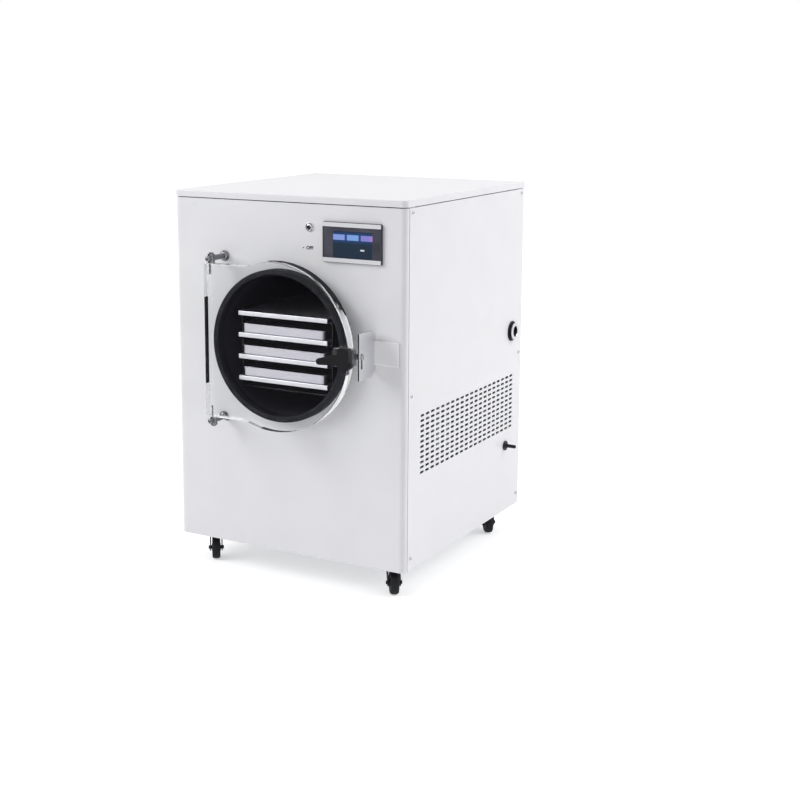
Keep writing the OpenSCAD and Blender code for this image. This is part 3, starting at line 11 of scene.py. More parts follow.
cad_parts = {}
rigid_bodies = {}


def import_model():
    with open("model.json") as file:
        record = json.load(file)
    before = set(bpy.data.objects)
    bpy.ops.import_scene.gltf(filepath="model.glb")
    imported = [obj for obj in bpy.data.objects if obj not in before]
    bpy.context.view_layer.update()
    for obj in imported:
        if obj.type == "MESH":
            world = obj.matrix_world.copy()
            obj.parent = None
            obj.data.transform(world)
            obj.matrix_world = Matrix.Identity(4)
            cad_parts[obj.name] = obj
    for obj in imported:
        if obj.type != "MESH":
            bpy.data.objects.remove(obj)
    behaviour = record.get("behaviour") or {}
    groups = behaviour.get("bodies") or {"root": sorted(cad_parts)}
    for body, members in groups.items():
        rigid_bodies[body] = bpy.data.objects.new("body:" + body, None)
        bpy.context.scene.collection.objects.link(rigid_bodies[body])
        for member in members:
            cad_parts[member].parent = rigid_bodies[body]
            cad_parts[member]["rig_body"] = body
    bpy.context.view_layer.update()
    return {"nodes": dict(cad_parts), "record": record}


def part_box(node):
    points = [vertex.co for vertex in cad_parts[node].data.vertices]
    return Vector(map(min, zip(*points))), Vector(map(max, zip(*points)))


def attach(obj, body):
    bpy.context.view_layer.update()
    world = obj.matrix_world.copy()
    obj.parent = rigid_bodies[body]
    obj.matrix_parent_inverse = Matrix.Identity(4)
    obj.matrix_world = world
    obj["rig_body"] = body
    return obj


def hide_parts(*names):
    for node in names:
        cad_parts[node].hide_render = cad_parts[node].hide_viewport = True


for start_up in list(bpy.data.objects):
    bpy.data.objects.remove(start_up)
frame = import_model()

bl_info = {
    "name": "Freeze Dryer Builder",
    "version": (1, 0, 0),
    "blender": (4, 5, 0),
    "location": "View3D > Sidebar > Freeze Dryer",
    "description": "Builds the visible pieces of a floor-standing freeze dryer on its frame",
    "category": "Object",
}

MM = 0.001

# Casing: its sheet, the ends of a side panel's folds, the radii of its two holes, and the screw heads
SHEET = 1.5 * MM
FOLD_FRONT = 22.5 * MM
FOLD_BACK = 25 * MM
PORT_HOLE = 18.05 * MM
DRAIN_HOLE = 7.05 * MM
SCREW_R = 4 * MM
SCREW_H = 2.2 * MM

# Drum
DRUM_WALL = 3 * MM
DRUM_END = 4 * MM
DRUM_LENGTH = 440 * MM
COLLAR_WIDTH = 29 * MM
COLLAR_DEPTH = 4 * MM

# Dark arcs on the door's round edge, in degrees up from its right: low down a painted reflection of the black
# gasket, over the upper right painted shade of the gasket and the gap round the drum's opening as seen
# through the rim
RIM_REFLECTION = (-101, -74)
RIM_SHADE = (26, 98)

# Corners closer than this are one, and edges that turn more than this stay sharp
WELD = 2e-6
CREASE = math.radians(32)

# Places and sizes on the display glass, as shares of it from its upper left corner
DISPLAY = (0.515, 0.56, 0.69, 0.86)
FIRST_TAB, TAB_STEP = 0.275, 0.245
TAB_V, TAB_W, TAB_H = 0.325, 0.205, 0.175
MARK = (0.69, 0.71, 0.07, 0.05)

# Printed legend, from the middle of the button
LEGEND_DROP = 43 * MM
LEGEND_HEIGHT = 6.5 * MM
LEGEND_BOLD = 0.45 * MM
DOT_LEFT = 15 * MM
DOT_SIZE = 3 * MM

# Polished cast acrylic, and the display's gloss coat
POLISH = 0.015
CLEAR = {"transmission_weight": 1.0, "ior": 1.49}
GLAZED = {"coat_weight": 1.0, "coat_roughness": 0.04}

# Studio, in metres; the camera is turned in degrees
CAMERA_AT = (1.558, -2.714, 1.071)
CAMERA_TURN = (80.17, 0, 30.02)
CAMERA_SHIFT = (0.068, -0.10)
MIDDLE = (0, 0, 0.45)
LAMPS = (
    ("LeftLight", "left", (-2.6, -2.2, 2.3), MIDDLE, 2.4),
    ("RightLight", "right", (2.9, 1.4, 2.3), MIDDLE, 2.4),
    ("TopLight", "top", (0.1, 0.2, 3.0), (0.1, 0.2, 0.8), 2.0),
)
CLOTHS = (
    ("LaidCloth", ((-7.5, -11.0, 0.005), (-0.35, -11.0, 0.005), (-0.35, -1.0, 0.005), (-7.5, -1.0, 0.005))),
    ("HungCloth", ((-3.6, -5.0, 0.01), (-3.6, 2.0, 0.01), (-3.6, 2.0, 2.6), (-3.6, -5.0, 2.6))),
)
FLOOR_HALF = 12


# ---- measures from the frame


def middle(node):
    low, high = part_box(node)
    return (low + high) / 2


def span(node):
    low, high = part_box(node)
    return high - low


FRONT_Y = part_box("front_panel")[0].y
DRUM = middle("door_gasket")
DRUM_R = span("chamber").x / 2 - COLLAR_WIDTH
SLOTS = {part["node"]: part["material_slot"] for part in frame["record"]["subparts"]}


# ---- settings


def length(name, default, text):
    return FloatProperty(name=name, default=default, description=text, subtype="DISTANCE", unit="LENGTH")


def tint(name, default):
    text = f"Colour of the {name.lower()}, as an sRGB hex value"
    return StringProperty(name=name, default=default, description=text)


def power(name, default, place):
    text = "Strength of the soft light " + place
    return FloatProperty(name=name, default=default, description=text, unit="POWER")


class CasingSettings(bpy.types.PropertyGroup):
    coat: tint("Powder coat", "E6E6E9")
    edge: length("Edge rounding", 0.6 * MM, "Rounding of the sheet's outer edges")
    columns: IntProperty(name="Vent columns", default=20, description="Slots in a row of a side vent", min=2)
    rows: IntProperty(name="Vent rows", default=12, description="Rows of slots in a side vent", min=2)
    pitch_y: length("Slot pitch", 23.7 * MM, "Distance between slots along a row")
    pitch_z: length("Row pitch", 10.9 * MM, "Distance between rows")
    slot_length: length("Slot length", 17 * MM, "Length of one slot")
    slot_height: length("Slot height", 5.4 * MM, "Height of one slot")
    first_y: length("First slot from the front", 76.4 * MM, "Middle of the first slot behind the front face")
    first_z: length("Lowest row", 197 * MM, "Middle of the lowest row above the panel's lower edge")


class DoorSettings(bpy.types.PropertyGroup):
    acrylic: tint("Clear plate", "FDFEFE")
    rim: length("Rim rounding", 1.0 * MM, "Polished rounding of the plate's edges")
    hinge_half: length("Hinge side half height", 163 * MM, "Half the height of the straight hinge side")
    bevel: length("Swing bevel", 8 * MM, "Bevel behind the hinge edge that swings past the gasket")
    band: length("Edge band height", 184 * MM, "Height of the bevel and of the dark band on the hinge edge")
    band_wrap: length("Edge band wrap", 2.1 * MM, "How far the dark band goes on over the bevel")
    # The rim strip is painted shade of the gasket and the gap round the drum's opening, seen through the rim
    strip: length("Rim strip width", 17 * MM, "Width of the dark strip round the upper right of the plate")
    pin_bore: length("Pin bore", 6.1 * MM, "Diameter of the blind bores for the hinge pins")
    pin_depth: length("Pin bore depth", 24 * MM, "Depth of the blind bores for the hinge pins")
    gasket: tint("Door gasket", "111116")


class ChamberSettings(bpy.types.PropertyGroup):
    lining: tint("Drum's lining", "24222C")
    shelf: tint("Shelf plates", "CFCED3")
    tray: tint("Trays", "BBB9C1")


class ControlSettings(bpy.types.PropertyGroup):
    bezel: tint("Display's border", "50505B")
    display: tint("Idle display", "2C3B4C")
    glow: tint("Display glow", "1F4E9A")
    bar_1: tint("Left tab", "8EA6EE")
    bar_2: tint("Middle tab", "86AEF0")
    bar_3: tint("Right tab", "8E8BDC")
    bar_end: tint("Right tab's end", "B58AD6")
    legend: tint("Printed legend", "2A292E")


class CastorSettings(bpy.types.PropertyGroup):
    black: tint("Forks and wheels", "151518")


class StageSettings(bpy.types.PropertyGroup):
    left: power("Left light", 85.0, "at the left")
    right: power("Right light", 67.0, "at the right")
    top: power("Top light", 12.0, "overhead")
    sky: FloatProperty(name="Ambient", default=0.44, description="Strength of the surrounding light")
    glow: FloatProperty(name="Floor glow", default=0.45, description="Lifts the floor's look to white")
    lens: FloatProperty(
        name="Lens", default=64.4, description="Focal length in millimetres", subtype="DISTANCE_CAMERA"
    )


class DryerSettings(bpy.types.PropertyGroup):
    casing: PointerProperty(type=CasingSettings)
    door: PointerProperty(type=DoorSettings)
    chamber: PointerProperty(type=ChamberSettings)
    controls: PointerProperty(type=ControlSettings)
    castors: PointerProperty(type=CastorSettings)
    stage: PointerProperty(type=StageSettings)


# ---- mesh helpers


def linked(name, data):
    """New object in the scene."""
    made = bpy.data.objects.new(name, data)
    bpy.context.scene.collection.objects.link(made)
    return made


def ready(name, mesh, body, *materials, slot=None, replaces=()):
    """Turns a mesh in the frame's own coordinates into a piece that rides on a body."""
    piece = linked(name, mesh)
    indices = [face.material_index for face in mesh.polygons]
    mesh.materials.clear()
    for material in materials:
        mesh.materials.append(material)
    if len(materials) > 1:
        mesh.polygons.foreach_set("material_index", indices)
    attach(piece, body)
    if replaces:
        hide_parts(*replaces)
    return piece


def stand_in(node, mesh, *materials, name=None):
    """Piece that stands for a frame node, on its body."""
    name = name or node.title().replace("_", "")
    body = frame["nodes"][node]["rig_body"]
    return ready(name, mesh, body, *materials, slot=SLOTS[node], replaces=(node,))


def smooth(mesh):
    mesh.polygons.foreach_set("use_smooth", [True] * len(mesh.polygons))
    return mesh


def plain_mesh(name, bm, crisp=True):
    """Closes a bmesh into a smooth mesh; crisp keeps its creases."""
    mesh = bpy.data.meshes.new(name)
    bm.to_mesh(mesh)
    bm.free()
    smooth(mesh)
    if crisp:
        mesh.set_sharp_from_angle(angle=CREASE)
    return mesh


def as_mesh(name, bm, crisp=True):
    """Closes a bmesh into a mesh with its faces outwards."""
    bmesh.ops.recalc_face_normals(bm, faces=bm.faces)
    return plain_mesh(name, bm, crisp)


def round_edges(piece, width, segments=3):
    """Rounds a piece's sharp edges and keeps its flats flat."""
    bevel = piece.modifiers.new("Rounded edges", "BEVEL")
    bevel.width = width
    bevel.segments = segments
    bevel.limit_method = "ANGLE"
    bevel.angle_limit = CREASE
    bevel.harden_normals = True
    bevel.use_clamp_overlap = True
    flats = piece.modifiers.new("Even flats", "WEIGHTED_NORMAL")
    flats.keep_sharp = True
    return piece


def welded(node):
    """The node's solid as a bmesh, with its loose triangles joined."""
    bm = bmesh.new()
    bm.from_mesh(frame["nodes"][node].data)
    bmesh.ops.remove_doubles(bm, verts=bm.verts, dist=WELD)
    return bm


def merged_copy(node):
    """Mesh with the node's solid, its flats made whole faces."""
    bm = welded(node)
    bmesh.ops.dissolve_limit(
        bm, angle_limit=math.radians(0.4), verts=bm.verts, edges=bm.edges, delimit={"NORMAL"}
    )
    return plain_mesh(node, bm)


def eased(node, material, width, segments=3, name=None):
    """Stands for a frame node with the same solid and rounded edges."""
    return round_edges(stand_in(node, merged_copy(node), material, name=name), width, segments)


def dress(material, *nodes):
    """Gives kept nodes their finish."""
    for name in nodes:
        for slot in frame["nodes"][name].material_slots:
            slot.material = material


def turned(profile, at, axis, segments=96, bm=None, closed=True):
    """Surface of revolution: profile points are (radius, distance along the axis)."""
    bm = bm or bmesh.new()
    axis = Vector(axis).normalized()
    side = axis.orthogonal().normalized()
    up = axis.cross(side)
    angles = [2 * math.pi * k / segments for k in range(segments)]
    spokes = [side * math.cos(a) + up * math.sin(a) for a in angles]
    rings = []
    for r, z in profile:
        hub = Vector(at) + axis * z
        around = spokes if r > 0 else spokes[:1]
        rings.append([bm.verts.new(hub + spoke * r) for spoke in around])
    pairs = list(zip(rings, rings[1:]))
    if closed:
        pairs.append((rings[-1], rings[0]))
    for a, b in pairs:
        for k in range(segments):
            n = (k + 1) % segments
            corners = []
            for v in (a[k % len(a)], a[n % len(a)], b[n % len(b)], b[k % len(b)]):
                if v not in corners:
                    corners.append(v)
            if len(corners) > 2:
                bm.faces.new(corners)
    return bm


def skin(bm, rings):
    """Closes a bmesh over rings of corners, with an end face on the first and on the last."""
    bm.faces.new(rings[0])
    bm.faces.new(rings[-1])
    count = len(rings[0])
    for a, b in zip(rings, rings[1:]):
        for i in range(count):
            j = (i + 1) % count
            bm.faces.new((a[i], a[j], b[j], b[i]))
    return bm


def prism(outline, place, depth):
    """Outline thickened by depth; place turns (u, v, w) into a point in the frame."""
    bm = bmesh.new()
    return skin(bm, [[bm.verts.new(place(u, v, w)) for u, v in outline] for w in (0, depth)])


def arc(cx, cy, r, start, stop, steps):
    """Points on an arc, angles in degrees."""
    angles = [math.radians(start + (stop - start) * k / steps) for k in range(steps + 1)]
    return [(cx + r * math.cos(a), cy + r * math.sin(a)) for a in angles]


def slab(bm, low, high):
    """Adds a box between two corners."""
    low, high = Vector(low), Vector(high)
    for v in bmesh.ops.create_cube(bm, size=1)["verts"]:
        v.co = Vector([(low[i] + high[i]) / 2 + v.co[i] * (high[i] - low[i]) for i in range(3)])


def plate_outline(width, height, radius, steps=6):
    """Rectangle about the origin with round corners."""
    r = min(radius, 0.48 * width, 0.48 * height)
    x, y = width / 2 - r, height / 2 - r
    corners = ((-x, -y, 180), (x, -y, 270), (x, y, 0), (-x, y, 90))
    return [point for cx, cy, start in corners for point in arc(cx, cy, r, start, start + 90, steps)]


def quarter(steps):
    return [math.pi / 2 * k / steps for k in range(steps + 1)]


# ---- node helpers


def linear(hex_value, alpha=1.0):
    """sRGB hex value as a linear colour."""
    parts = [int(hex_value[i : i + 2], 16) / 255 for i in (0, 2, 4)]
    return [c / 12.92 if c <= 0.04045 else ((c + 0.055) / 1.055) ** 2.4 for c in parts] + [alpha]


def add(tree, kind, inputs=None, **settings):
    """Adds a node, sets its settings, and fills or links its inputs."""
    node = tree.nodes.new(kind)
    for name, value in settings.items():
        setattr(node, name, value)
    for key, value in (inputs or {}).items():
        if isinstance(value, bpy.types.NodeSocket):
            tree.links.new(value, node.inputs[key])
        else:
            node.inputs[key].default_value = value
    return node


def feed(tree, kind, inputs=None, **settings):
    """The first output of a new node."""
    return add(tree, kind, inputs, **settings).outputs[0]


def maths(tree, operation, first, second=0.0):
    return feed(tree, "ShaderNodeMath", {0: first, 1: second}, operation=operation)


def between(tree, factor, low, high, start=0.3, stop=0.7):
    """Spreads a factor over the values from low to high."""
    values = {"Value": factor, "From Min": start, "From Max": stop, "To Min": low, "To Max": high}
    return feed(tree, "ShaderNodeMapRange", values)


def blended(tree, factor, low_hex, high_hex):
    """Colour between two hex values."""
    values = {0: factor, 6: linear(low_hex), 7: linear(high_hex)}
    return add(tree, "ShaderNodeMix", values, data_type="RGBA").outputs[2]


def principled(tree, hex_value, roughness, metallic=0.0, **sockets):
    """Principled shader; its other sockets are given in lower case."""
    values = {"Base Color": linear(hex_value), "Roughness": roughness, "Metallic": metallic}
    shader = add(tree, "ShaderNodeBsdfPrincipled", values)
    for label, value in sockets.items():
        shader.inputs[label.replace("_", " ").title().replace("Ior", "IOR")].default_value = value
    return shader


def shade(hex_value, factor):
    """The same hex value, lighter or darker."""
    parts = [round(int(hex_value[i : i + 2], 16) * factor) for i in (0, 2, 4)]
    return "".join(f"{max(0, min(255, part)):02X}" for part in parts)


class Look:
    """A material with its Principled shader; its grains lie in the piece's own coordinates, in metres."""

    def __init__(self, name, colour, roughness, metallic=0.0, **sockets):
        self.colour = colour
        self.material = bpy.data.materials.new(name)
        self.material.use_nodes = True
        self.tree = self.material.node_tree
        self.tree.nodes.clear()
        self.shader = principled(self.tree, colour, roughness, metallic, **sockets)
        self.output = add(self.tree, "ShaderNodeOutputMaterial", {"Surface": self.shader.outputs[0]})
        self.coords = add(self.tree, "ShaderNodeTexCoord").outputs["Object"]

    def grain(self, size, stretch=(1, 1, 1), detail=2.0, rough=0.5):
        """Noise whose features are about size metres across, drawn out along an axis by stretch."""
        thinned = {"Vector": self.coords, "Scale": [1 / s for s in stretch]}
        scaled = feed(self.tree, "ShaderNodeMapping", thinned)
        values = {"Vector": scaled, "Scale": 1 / size, "Detail": detail, "Roughness": rough}
        return add(self.tree, "ShaderNodeTexNoise", values).outputs["Fac"]

    def drive(self, label, value):
        self.tree.links.new(value, self.shader.inputs[label])

    def roughness(self, factor, low, high, start=0.3, stop=0.7):
        self.drive("Roughness", between(self.tree, factor, low, high, start, stop))

    def tone(self, factor, low, high, start=0.3, stop=0.7):
        """Base colour from low to high times the look's own."""
        ramp = between(self.tree, factor, 0, 1, start, stop)
        self.drive("Base Color", blended(self.tree, ramp, shade(self.colour, low), shade(self.colour, high)))

    def relief(self, height, depth, strength=1.0):
        """Small relief on the surface, depth in metres."""
        values = {"Height": height, "Distance": depth, "Strength": strength}
        self.drive("Normal", feed(self.tree, "ShaderNodeBump", values))

    def instead(self, factor, other):
        """Mixes another shader in before the material's output."""
        values = {0: factor, 1: self.shader.outputs[0], 2: other}
        mixed = feed(self.tree, "ShaderNodeMixShader", values)
        self.tree.links.new(mixed, self.output.inputs["Surface"])


def grained(name, colour, roughness, size, low, high, depth=0, strength=0.5, detail=2.0, **more):
    """Material whose one grain varies its roughness from low to high and raises its surface by a depth."""
    look = Look(name, colour, roughness, **more)
    texture = look.grain(size, detail=detail)
    look.roughness(texture, low, high)
    if depth:
        look.relief(texture, depth, strength)
    return look.material


MADE = {}


def finish(maker, *values):
    """Each material is made once."""
    key = (maker.__name__, *values)
    if key not in MADE:
        MADE[key] = maker(*values)
    return MADE[key]


# ---- materials


def powder_coated_steel(colour):
    """Polyester powder coat on sheet steel: satin, with a faint orange peel."""
    look = Look("Powder coated steel " + colour, colour, 0.38)
    film = look.grain(90 * MM)
    look.roughness(film, 0.34, 0.43)
    look.tone(film, 0.993, 1.004)
    # The peel is about 1.5 mm across, drawn at 2.5 mm so that it shows at all
    look.relief(look.grain(2.5 * MM, detail=1.5), 0.03 * MM, 0.35)
    return look.material


def galvanised_sheet(colour):
    """Zinc coated frame sheet: dull grey with soft spangles about 9 mm across."""
    look = Look("Galvanised sheet", colour, 0.45, 0.85)
    spangles = {"Vector": look.coords, "Scale": 1 / (9 * MM)}
    cells = add(look.tree, "ShaderNodeTexVoronoi", spangles).outputs["Color"]
    look.roughness(cells, 0.36, 0.56, 0, 1)
    look.tone(cells, 0.93, 1.05, 0, 1)
    look.relief(look.grain(3 * MM), 0.02 * MM, 0.3)
    return look.material


def brushed_stainless(colour, along_x, along_y, along_z):
    """Brushed stainless steel: fine lines of light and shade along the brushing."""
    look = Look("Brushed stainless", colour, 0.3, 1.0)
    # Brush lines are about 0.2 mm apart, drawn at 0.8 mm so that they show
    lines = look.grain(0.8 * MM, (along_x, along_y, along_z), detail=3.0, rough=0.6)
    smudge = between(look.tree, look.grain(60 * MM), -0.05, 0.05)
    look.roughness(maths(look.tree, "ADD", lines, smudge), 0.22, 0.40)
    look.tone(lines, 0.94, 1.03)
    look.relief(lines, 0.01 * MM, 0.5)
    return look.material


def polished_stainless(colour):
    """Polished stainless plate: clear reflections with faint haze and wipe marks."""
    look = Look("Polished stainless " + colour, colour, 0.14, 1.0)
    look.roughness(look.grain(14 * MM, (3, 1, 1), detail=4.0), 0.09, 0.22)
    look.relief(look.grain(1.2 * MM, (1, 1, 6)), 0.006 * MM, 0.5)
    return look.material


def bright_chrome(colour):
    """Bright chrome plate: near mirror, with the slight waviness of a plated casting."""
    return grained("Chrome plate", colour, 0.07, 6 * MM, 0.05, 0.11, 0.01 * MM, 0.4, detail=1.0, metallic=1.0)


def satin_aluminium(colour):
    """Satin anodised aluminium plate: even, fine grain with a soft sheen."""
    look = Look("Satin aluminium", colour, 0.36, 1.0)
    fine = look.grain(1.1 * MM, (5, 1, 1))
    look.roughness(look.grain(45 * MM), 0.30, 0.42)
    look.tone(fine, 0.96, 1.02)
    look.relief(fine, 0.01 * MM, 0.5)
    return look.material


def dark_lining(colour):
    """Black baked epoxy inside the drum: deep, slightly satin, with small pits."""
    return grained("Baked epoxy lining", colour, 0.46, 3 * MM, 0.40, 0.55, 0.05 * MM, 0.4, detail=3.0)


def moulded_rubber(colour):
    """Black moulded EPDM rubber: matt, with a faint bloom."""
    look = Look("Moulded rubber", colour, 0.6, specular_ior_level=0.22)
    bloom = look.grain(24 * MM, detail=3.0)
    look.roughness(bloom, 0.52, 0.70)
    look.tone(bloom, 1.0, 1.3)
    look.relief(look.grain(1.6 * MM, detail=2.5), 0.03 * MM, 0.5)
    return look.material


def moulded_nylon(colour):
    """Black glass-filled nylon, spark-textured in the mould: semi-matt with a pebbled skin."""
    # The spark texture is about 0.3 mm, drawn at 0.9 mm
    return grained("Moulded nylon", colour, 0.44, 0.9 * MM, 0.36, 0.52, 0.02 * MM, specular_ior_level=0.25)


def cast_acrylic(colour):
    """Clear cast acrylic with polished edges: lets lamps and soft light through to the chamber."""
    look = Look("Clear cast acrylic", colour, POLISH, **CLEAR)
    look.relief(look.grain(40 * MM, detail=1.0), 0.02 * MM, 0.25)
    path = add(look.tree, "ShaderNodeLightPath").outputs
    soft = maths(look.tree, "MAXIMUM", path["Is Shadow Ray"], path["Is Diffuse Ray"])
    look.instead(soft, feed(look.tree, "ShaderNodeBsdfTransparent", {"Color": linear(colour)}))
    return look.material


def edge_taping_and_painted_reflection(colour, acrylic):
    """Matt black taping on a polished edge, and low on the round edge the same black as a painted reflection
    of the gasket; the light that the plate guides along itself leaves as if bare.
    """
    look = Look("Edge tape", colour, 0.6, specular_ior_level=0.22)
    look.roughness(look.grain(1.6 * MM), 0.52, 0.68)
    depth = add(look.tree, "ShaderNodeLightPath").outputs["Glossy Depth"]
    bare = principled(look.tree, acrylic, POLISH, **CLEAR)
    look.instead(maths(look.tree, "GREATER_THAN", depth, 0.5), bare.outputs[0])
    return look.material


def copper_tube(colour):
    """Drawn copper tube, a little tarnished in patches."""
    look = Look("Drawn copper", colour, 0.3, 1.0)
    tarnish = look.grain(18 * MM, detail=4.0, rough=0.6)
    look.tone(tarnish, 1.0, 0.72)
    look.roughness(tarnish, 0.24, 0.45)
    return look.material


def rigid_foam(colour):
    """Poured polyurethane foam: matt cream skin with closed pores about 2 mm across."""
    look = Look("Polyurethane foam", colour, 0.85)
    pores = feed(look.tree, "ShaderNodeTexVoronoi", {"Vector": look.coords, "Scale": 1 / (2.2 * MM)})
    look.relief(pores, 0.3 * MM, 0.6)
    look.tone(pores, 0.9, 1.0, 0.1, 0.6)
    return look.material


def black_enamel(colour):
    """Sprayed black enamel on pressed steel: satin with a soft peel."""
    return grained(
        "Black enamel", colour, 0.45, 4 * MM, 0.38, 0.52, 0.05 * MM, detail=1.5, specular_ior_level=0.25
    )


def silicone_hose(colour):
    """Clear silicone hose: milky, softly glossy."""
    return grained("Silicone hose", colour, 0.3, 5 * MM, 0.24, 0.38, subsurface_weight=0.2)


def moulded_abs(colour, roughness):
    """Moulded ABS with a fine etched skin."""
    low, high = roughness - 0.06, roughness + 0.06
    return grained("Moulded ABS " + colour, colour, roughness, 1.0 * MM, low, high, 0.015 * MM)


def display_glass(colour):
    """Chemically strengthened glass over an idle display: dark, glossy, faintly lit."""
    look = Look("Display glass " + colour, colour, 0.1, **GLAZED)
    look.tone(look.grain(50 * MM, detail=1.0), 0.85, 1.12)
    look.roughness(look.grain(9 * MM), 0.08, 0.14)
    return look.material


def idle_display(colour, glow, height, spread):
    """The display between its lit areas: slate, with a blue glow round the row of tabs at a height."""
    look = Look("Idle display", colour, 0.1, emission_strength=0.5, **GLAZED)
    up = add(look.tree, "ShaderNodeSeparateXYZ", {0: look.coords}).outputs[2]
    away = maths(look.tree, "ABSOLUTE", maths(look.tree, "SUBTRACT", up, height))
    near = between(look.tree, away, 1.0, 0.0, 0.35 * spread, spread)
    look.drive("Emission Color", blended(look.tree, near, "000000", glow))
    look.roughness(look.grain(9 * MM), 0.08, 0.14)
    return look.material


def lit_area(colour, end, x0, x1):
    """A lit area of the display seen through its glass; it runs into the end colour from x0 to x1."""
    look = Look("Lit display " + colour, shade(colour, 0.5), 0.12, emission_strength=0.75, **GLAZED)
    along = feed(look.tree, "ShaderNodeSeparateXYZ", {0: look.coords})
    run = blended(look.tree, between(look.tree, along, 0.0, 1.0, x0, x1), colour, end)
    # A liquid crystal's colour bands are too fine to show, so they are drawn 0.8 mm apart
    waves = {"Vector": look.coords, "Scale": 1 / (3.2 * MM), "Distortion": 0.0}
    bands = add(look.tree, "ShaderNodeTexWave", waves, bands_direction="X").outputs["Fac"]
    dim = between(look.tree, bands, 0.86, 1.0, 0, 1)
    banded_run = feed(look.tree, "ShaderNodeVectorMath", {0: run, 3: dim}, operation="SCALE")
    look.drive("Emission Color", banded_run)
    return look.material


def screen_print(colour):
    """Screen-printed ink: matt, a hair above the coat."""
    return grained("Screen print", colour, 0.55, 1.5 * MM, 0.48, 0.62)


# ---- geometry node helpers


def build_tree(name, sockets):
    """Geometry node tree with named inputs; returns the tree, its input node and its output node."""
    tree = bpy.data.node_groups.new(name, "GeometryNodeTree")
    tree.interface.new_socket("Geometry", in_out="INPUT", socket_type="NodeSocketGeometry")
    for label, kind in sockets:
        tree.interface.new_socket(label, in_out="INPUT", socket_type=kind)
    tree.interface.new_socket("Geometry", in_out="OUTPUT", socket_type="NodeSocketGeometry")
    return tree, add(tree, "NodeGroupInput"), add(tree, "NodeGroupOutput")


def evaluated(holder, keep=False):
    """Mesh that an object's modifiers or curves make; keep is for its attributes. The object goes."""
    graph = bpy.context.evaluated_depsgraph_get()
    mesh = bpy.data.meshes.new_from_object(
        holder.evaluated_get(graph), preserve_all_data_layers=keep, depsgraph=graph
    )
    bpy.data.objects.remove(holder)
    return mesh


def grow(tree, base, values):
    """Runs a tree over a base mesh and gives back the plain mesh that it makes."""
    holder = linked(tree.name, base)
    modifier = holder.modifiers.new("Build", "NODES")
    modifier.node_group = tree
    for item in tree.interface.items_tree:
        if item.item_type == "SOCKET" and item.in_out == "INPUT" and item.name in values:
            modifier[item.identifier] = values[item.name]
    return smooth(evaluated(holder, keep=True))


def joined(tree, *parts):
    """Several geometries as one."""
    node = add(tree, "GeometryNodeJoinGeometry")
    for part in parts:
        tree.links.new(part, node.inputs[0])
    return node.outputs[0]


def close_tree(tree, geometry, given, result):
    """Ends a tree: its instances are made real and get the material."""
    real = feed(tree, "GeometryNodeRealizeInstances", {"Geometry": geometry})
    dressed = feed(tree, "GeometryNodeSetMaterial", {"Geometry": real, "Material": given["Material"]})
    tree.links.new(dressed, result.inputs[0])
    return tree


def vented_sheet_tree():
    """Sheet inside a wire outline, pierced by rows of round-ended slots."""
    lengths = ("Slot Pitch", "Row Pitch", "Slot Length", "Slot Height")
    tree, given, result = build_tree(
        "Vented sheet",
        [
            ("Columns", "NodeSocketInt"),
            ("Rows", "NodeSocketInt"),
            *((label, "NodeSocketFloat") for label in lengths),
            ("First Slot", "NodeSocketVector"),
            ("Thickness", "NodeSocketFloat"),
            ("Material", "NodeSocketMaterial"),
        ],
    )
    g = given.outputs
    across, up = [
        maths(tree, "MULTIPLY", maths(tree, "SUBTRACT", g[number], 1.0), g[pitch])
        for number, pitch in (("Columns", "Slot Pitch"), ("Rows", "Row Pitch"))
    ]
    grid = {"Size X": across, "Size Y": up, "Vertices X": g["Columns"], "Vertices Y": g["Rows"]}
    points = feed(tree, "GeometryNodeMeshGrid", grid)
    size = feed(tree, "ShaderNodeCombineXYZ", {0: across, 1: up})
    half = feed(tree, "ShaderNodeVectorMath", {0: size, 3: 0.5}, operation="SCALE")
    corner = feed(tree, "ShaderNodeVectorMath", {0: half, 1: g["First Slot"]}, operation="ADD")
    placed = feed(tree, "GeometryNodeTransform", {"Geometry": points, "Translation": corner})
    frame_of_slot = {"Width": g["Slot Length"], "Height": g["Slot Height"]}
    slot = feed(tree, "GeometryNodeCurvePrimitiveQuadrilateral", frame_of_slot)
    radius = maths(tree, "MULTIPLY", g["Slot Height"], 0.499)
    corners = {"Curve": slot, "Radius": radius, "Count": 6}
    rounded = feed(tree, "GeometryNodeFilletCurve", corners, mode="POLY")
    copies = feed(tree, "GeometryNodeInstanceOnPoints", {"Points": placed, "Instance": rounded})
    slots = feed(tree, "GeometryNodeRealizeInstances", {"Geometry": copies})
    wires = feed(tree, "GeometryNodeMeshToCurve", {"Mesh": g["Geometry"]})
    sheet = feed(tree, "GeometryNodeFillCurve", {"Curve": joined(tree, slots, wires)}, mode="TRIANGLES")
    push = {"Mesh": sheet, "Offset Scale": g["Thickness"], "Individual": False}
    raised = feed(tree, "GeometryNodeExtrudeMesh", push, mode="FACES")
    under = feed(tree, "GeometryNodeFlipFaces", {"Mesh": sheet})
    both = {"Geometry": joined(tree, under, raised), "Distance": 0.01 * MM}
    return close_tree(tree, feed(tree, "GeometryNodeMergeByDistance", both), g, result)


def scattered_tree(name):
    """Copies of one fastener on points, each turned to the point's aim."""
    sockets = [("Fastener", "NodeSocketObject"), ("Material", "NodeSocketMaterial")]
    tree, given, result = build_tree(name, sockets)
    g = given.outputs
    aim = feed(tree, "GeometryNodeInputNamedAttribute", {"Name": "aim"}, data_type="FLOAT_VECTOR")
    turn = feed(tree, "FunctionNodeAlignRotationToVector", {"Vector": aim}, axis="Z")
    part = add(tree, "GeometryNodeObjectInfo", {"Object": g["Fastener"]}).outputs["Geometry"]
    placing = {"Points": g["Geometry"], "Instance": part, "Rotation": turn}
    return close_tree(tree, feed(tree, "GeometryNodeInstanceOnPoints", placing), g, result)


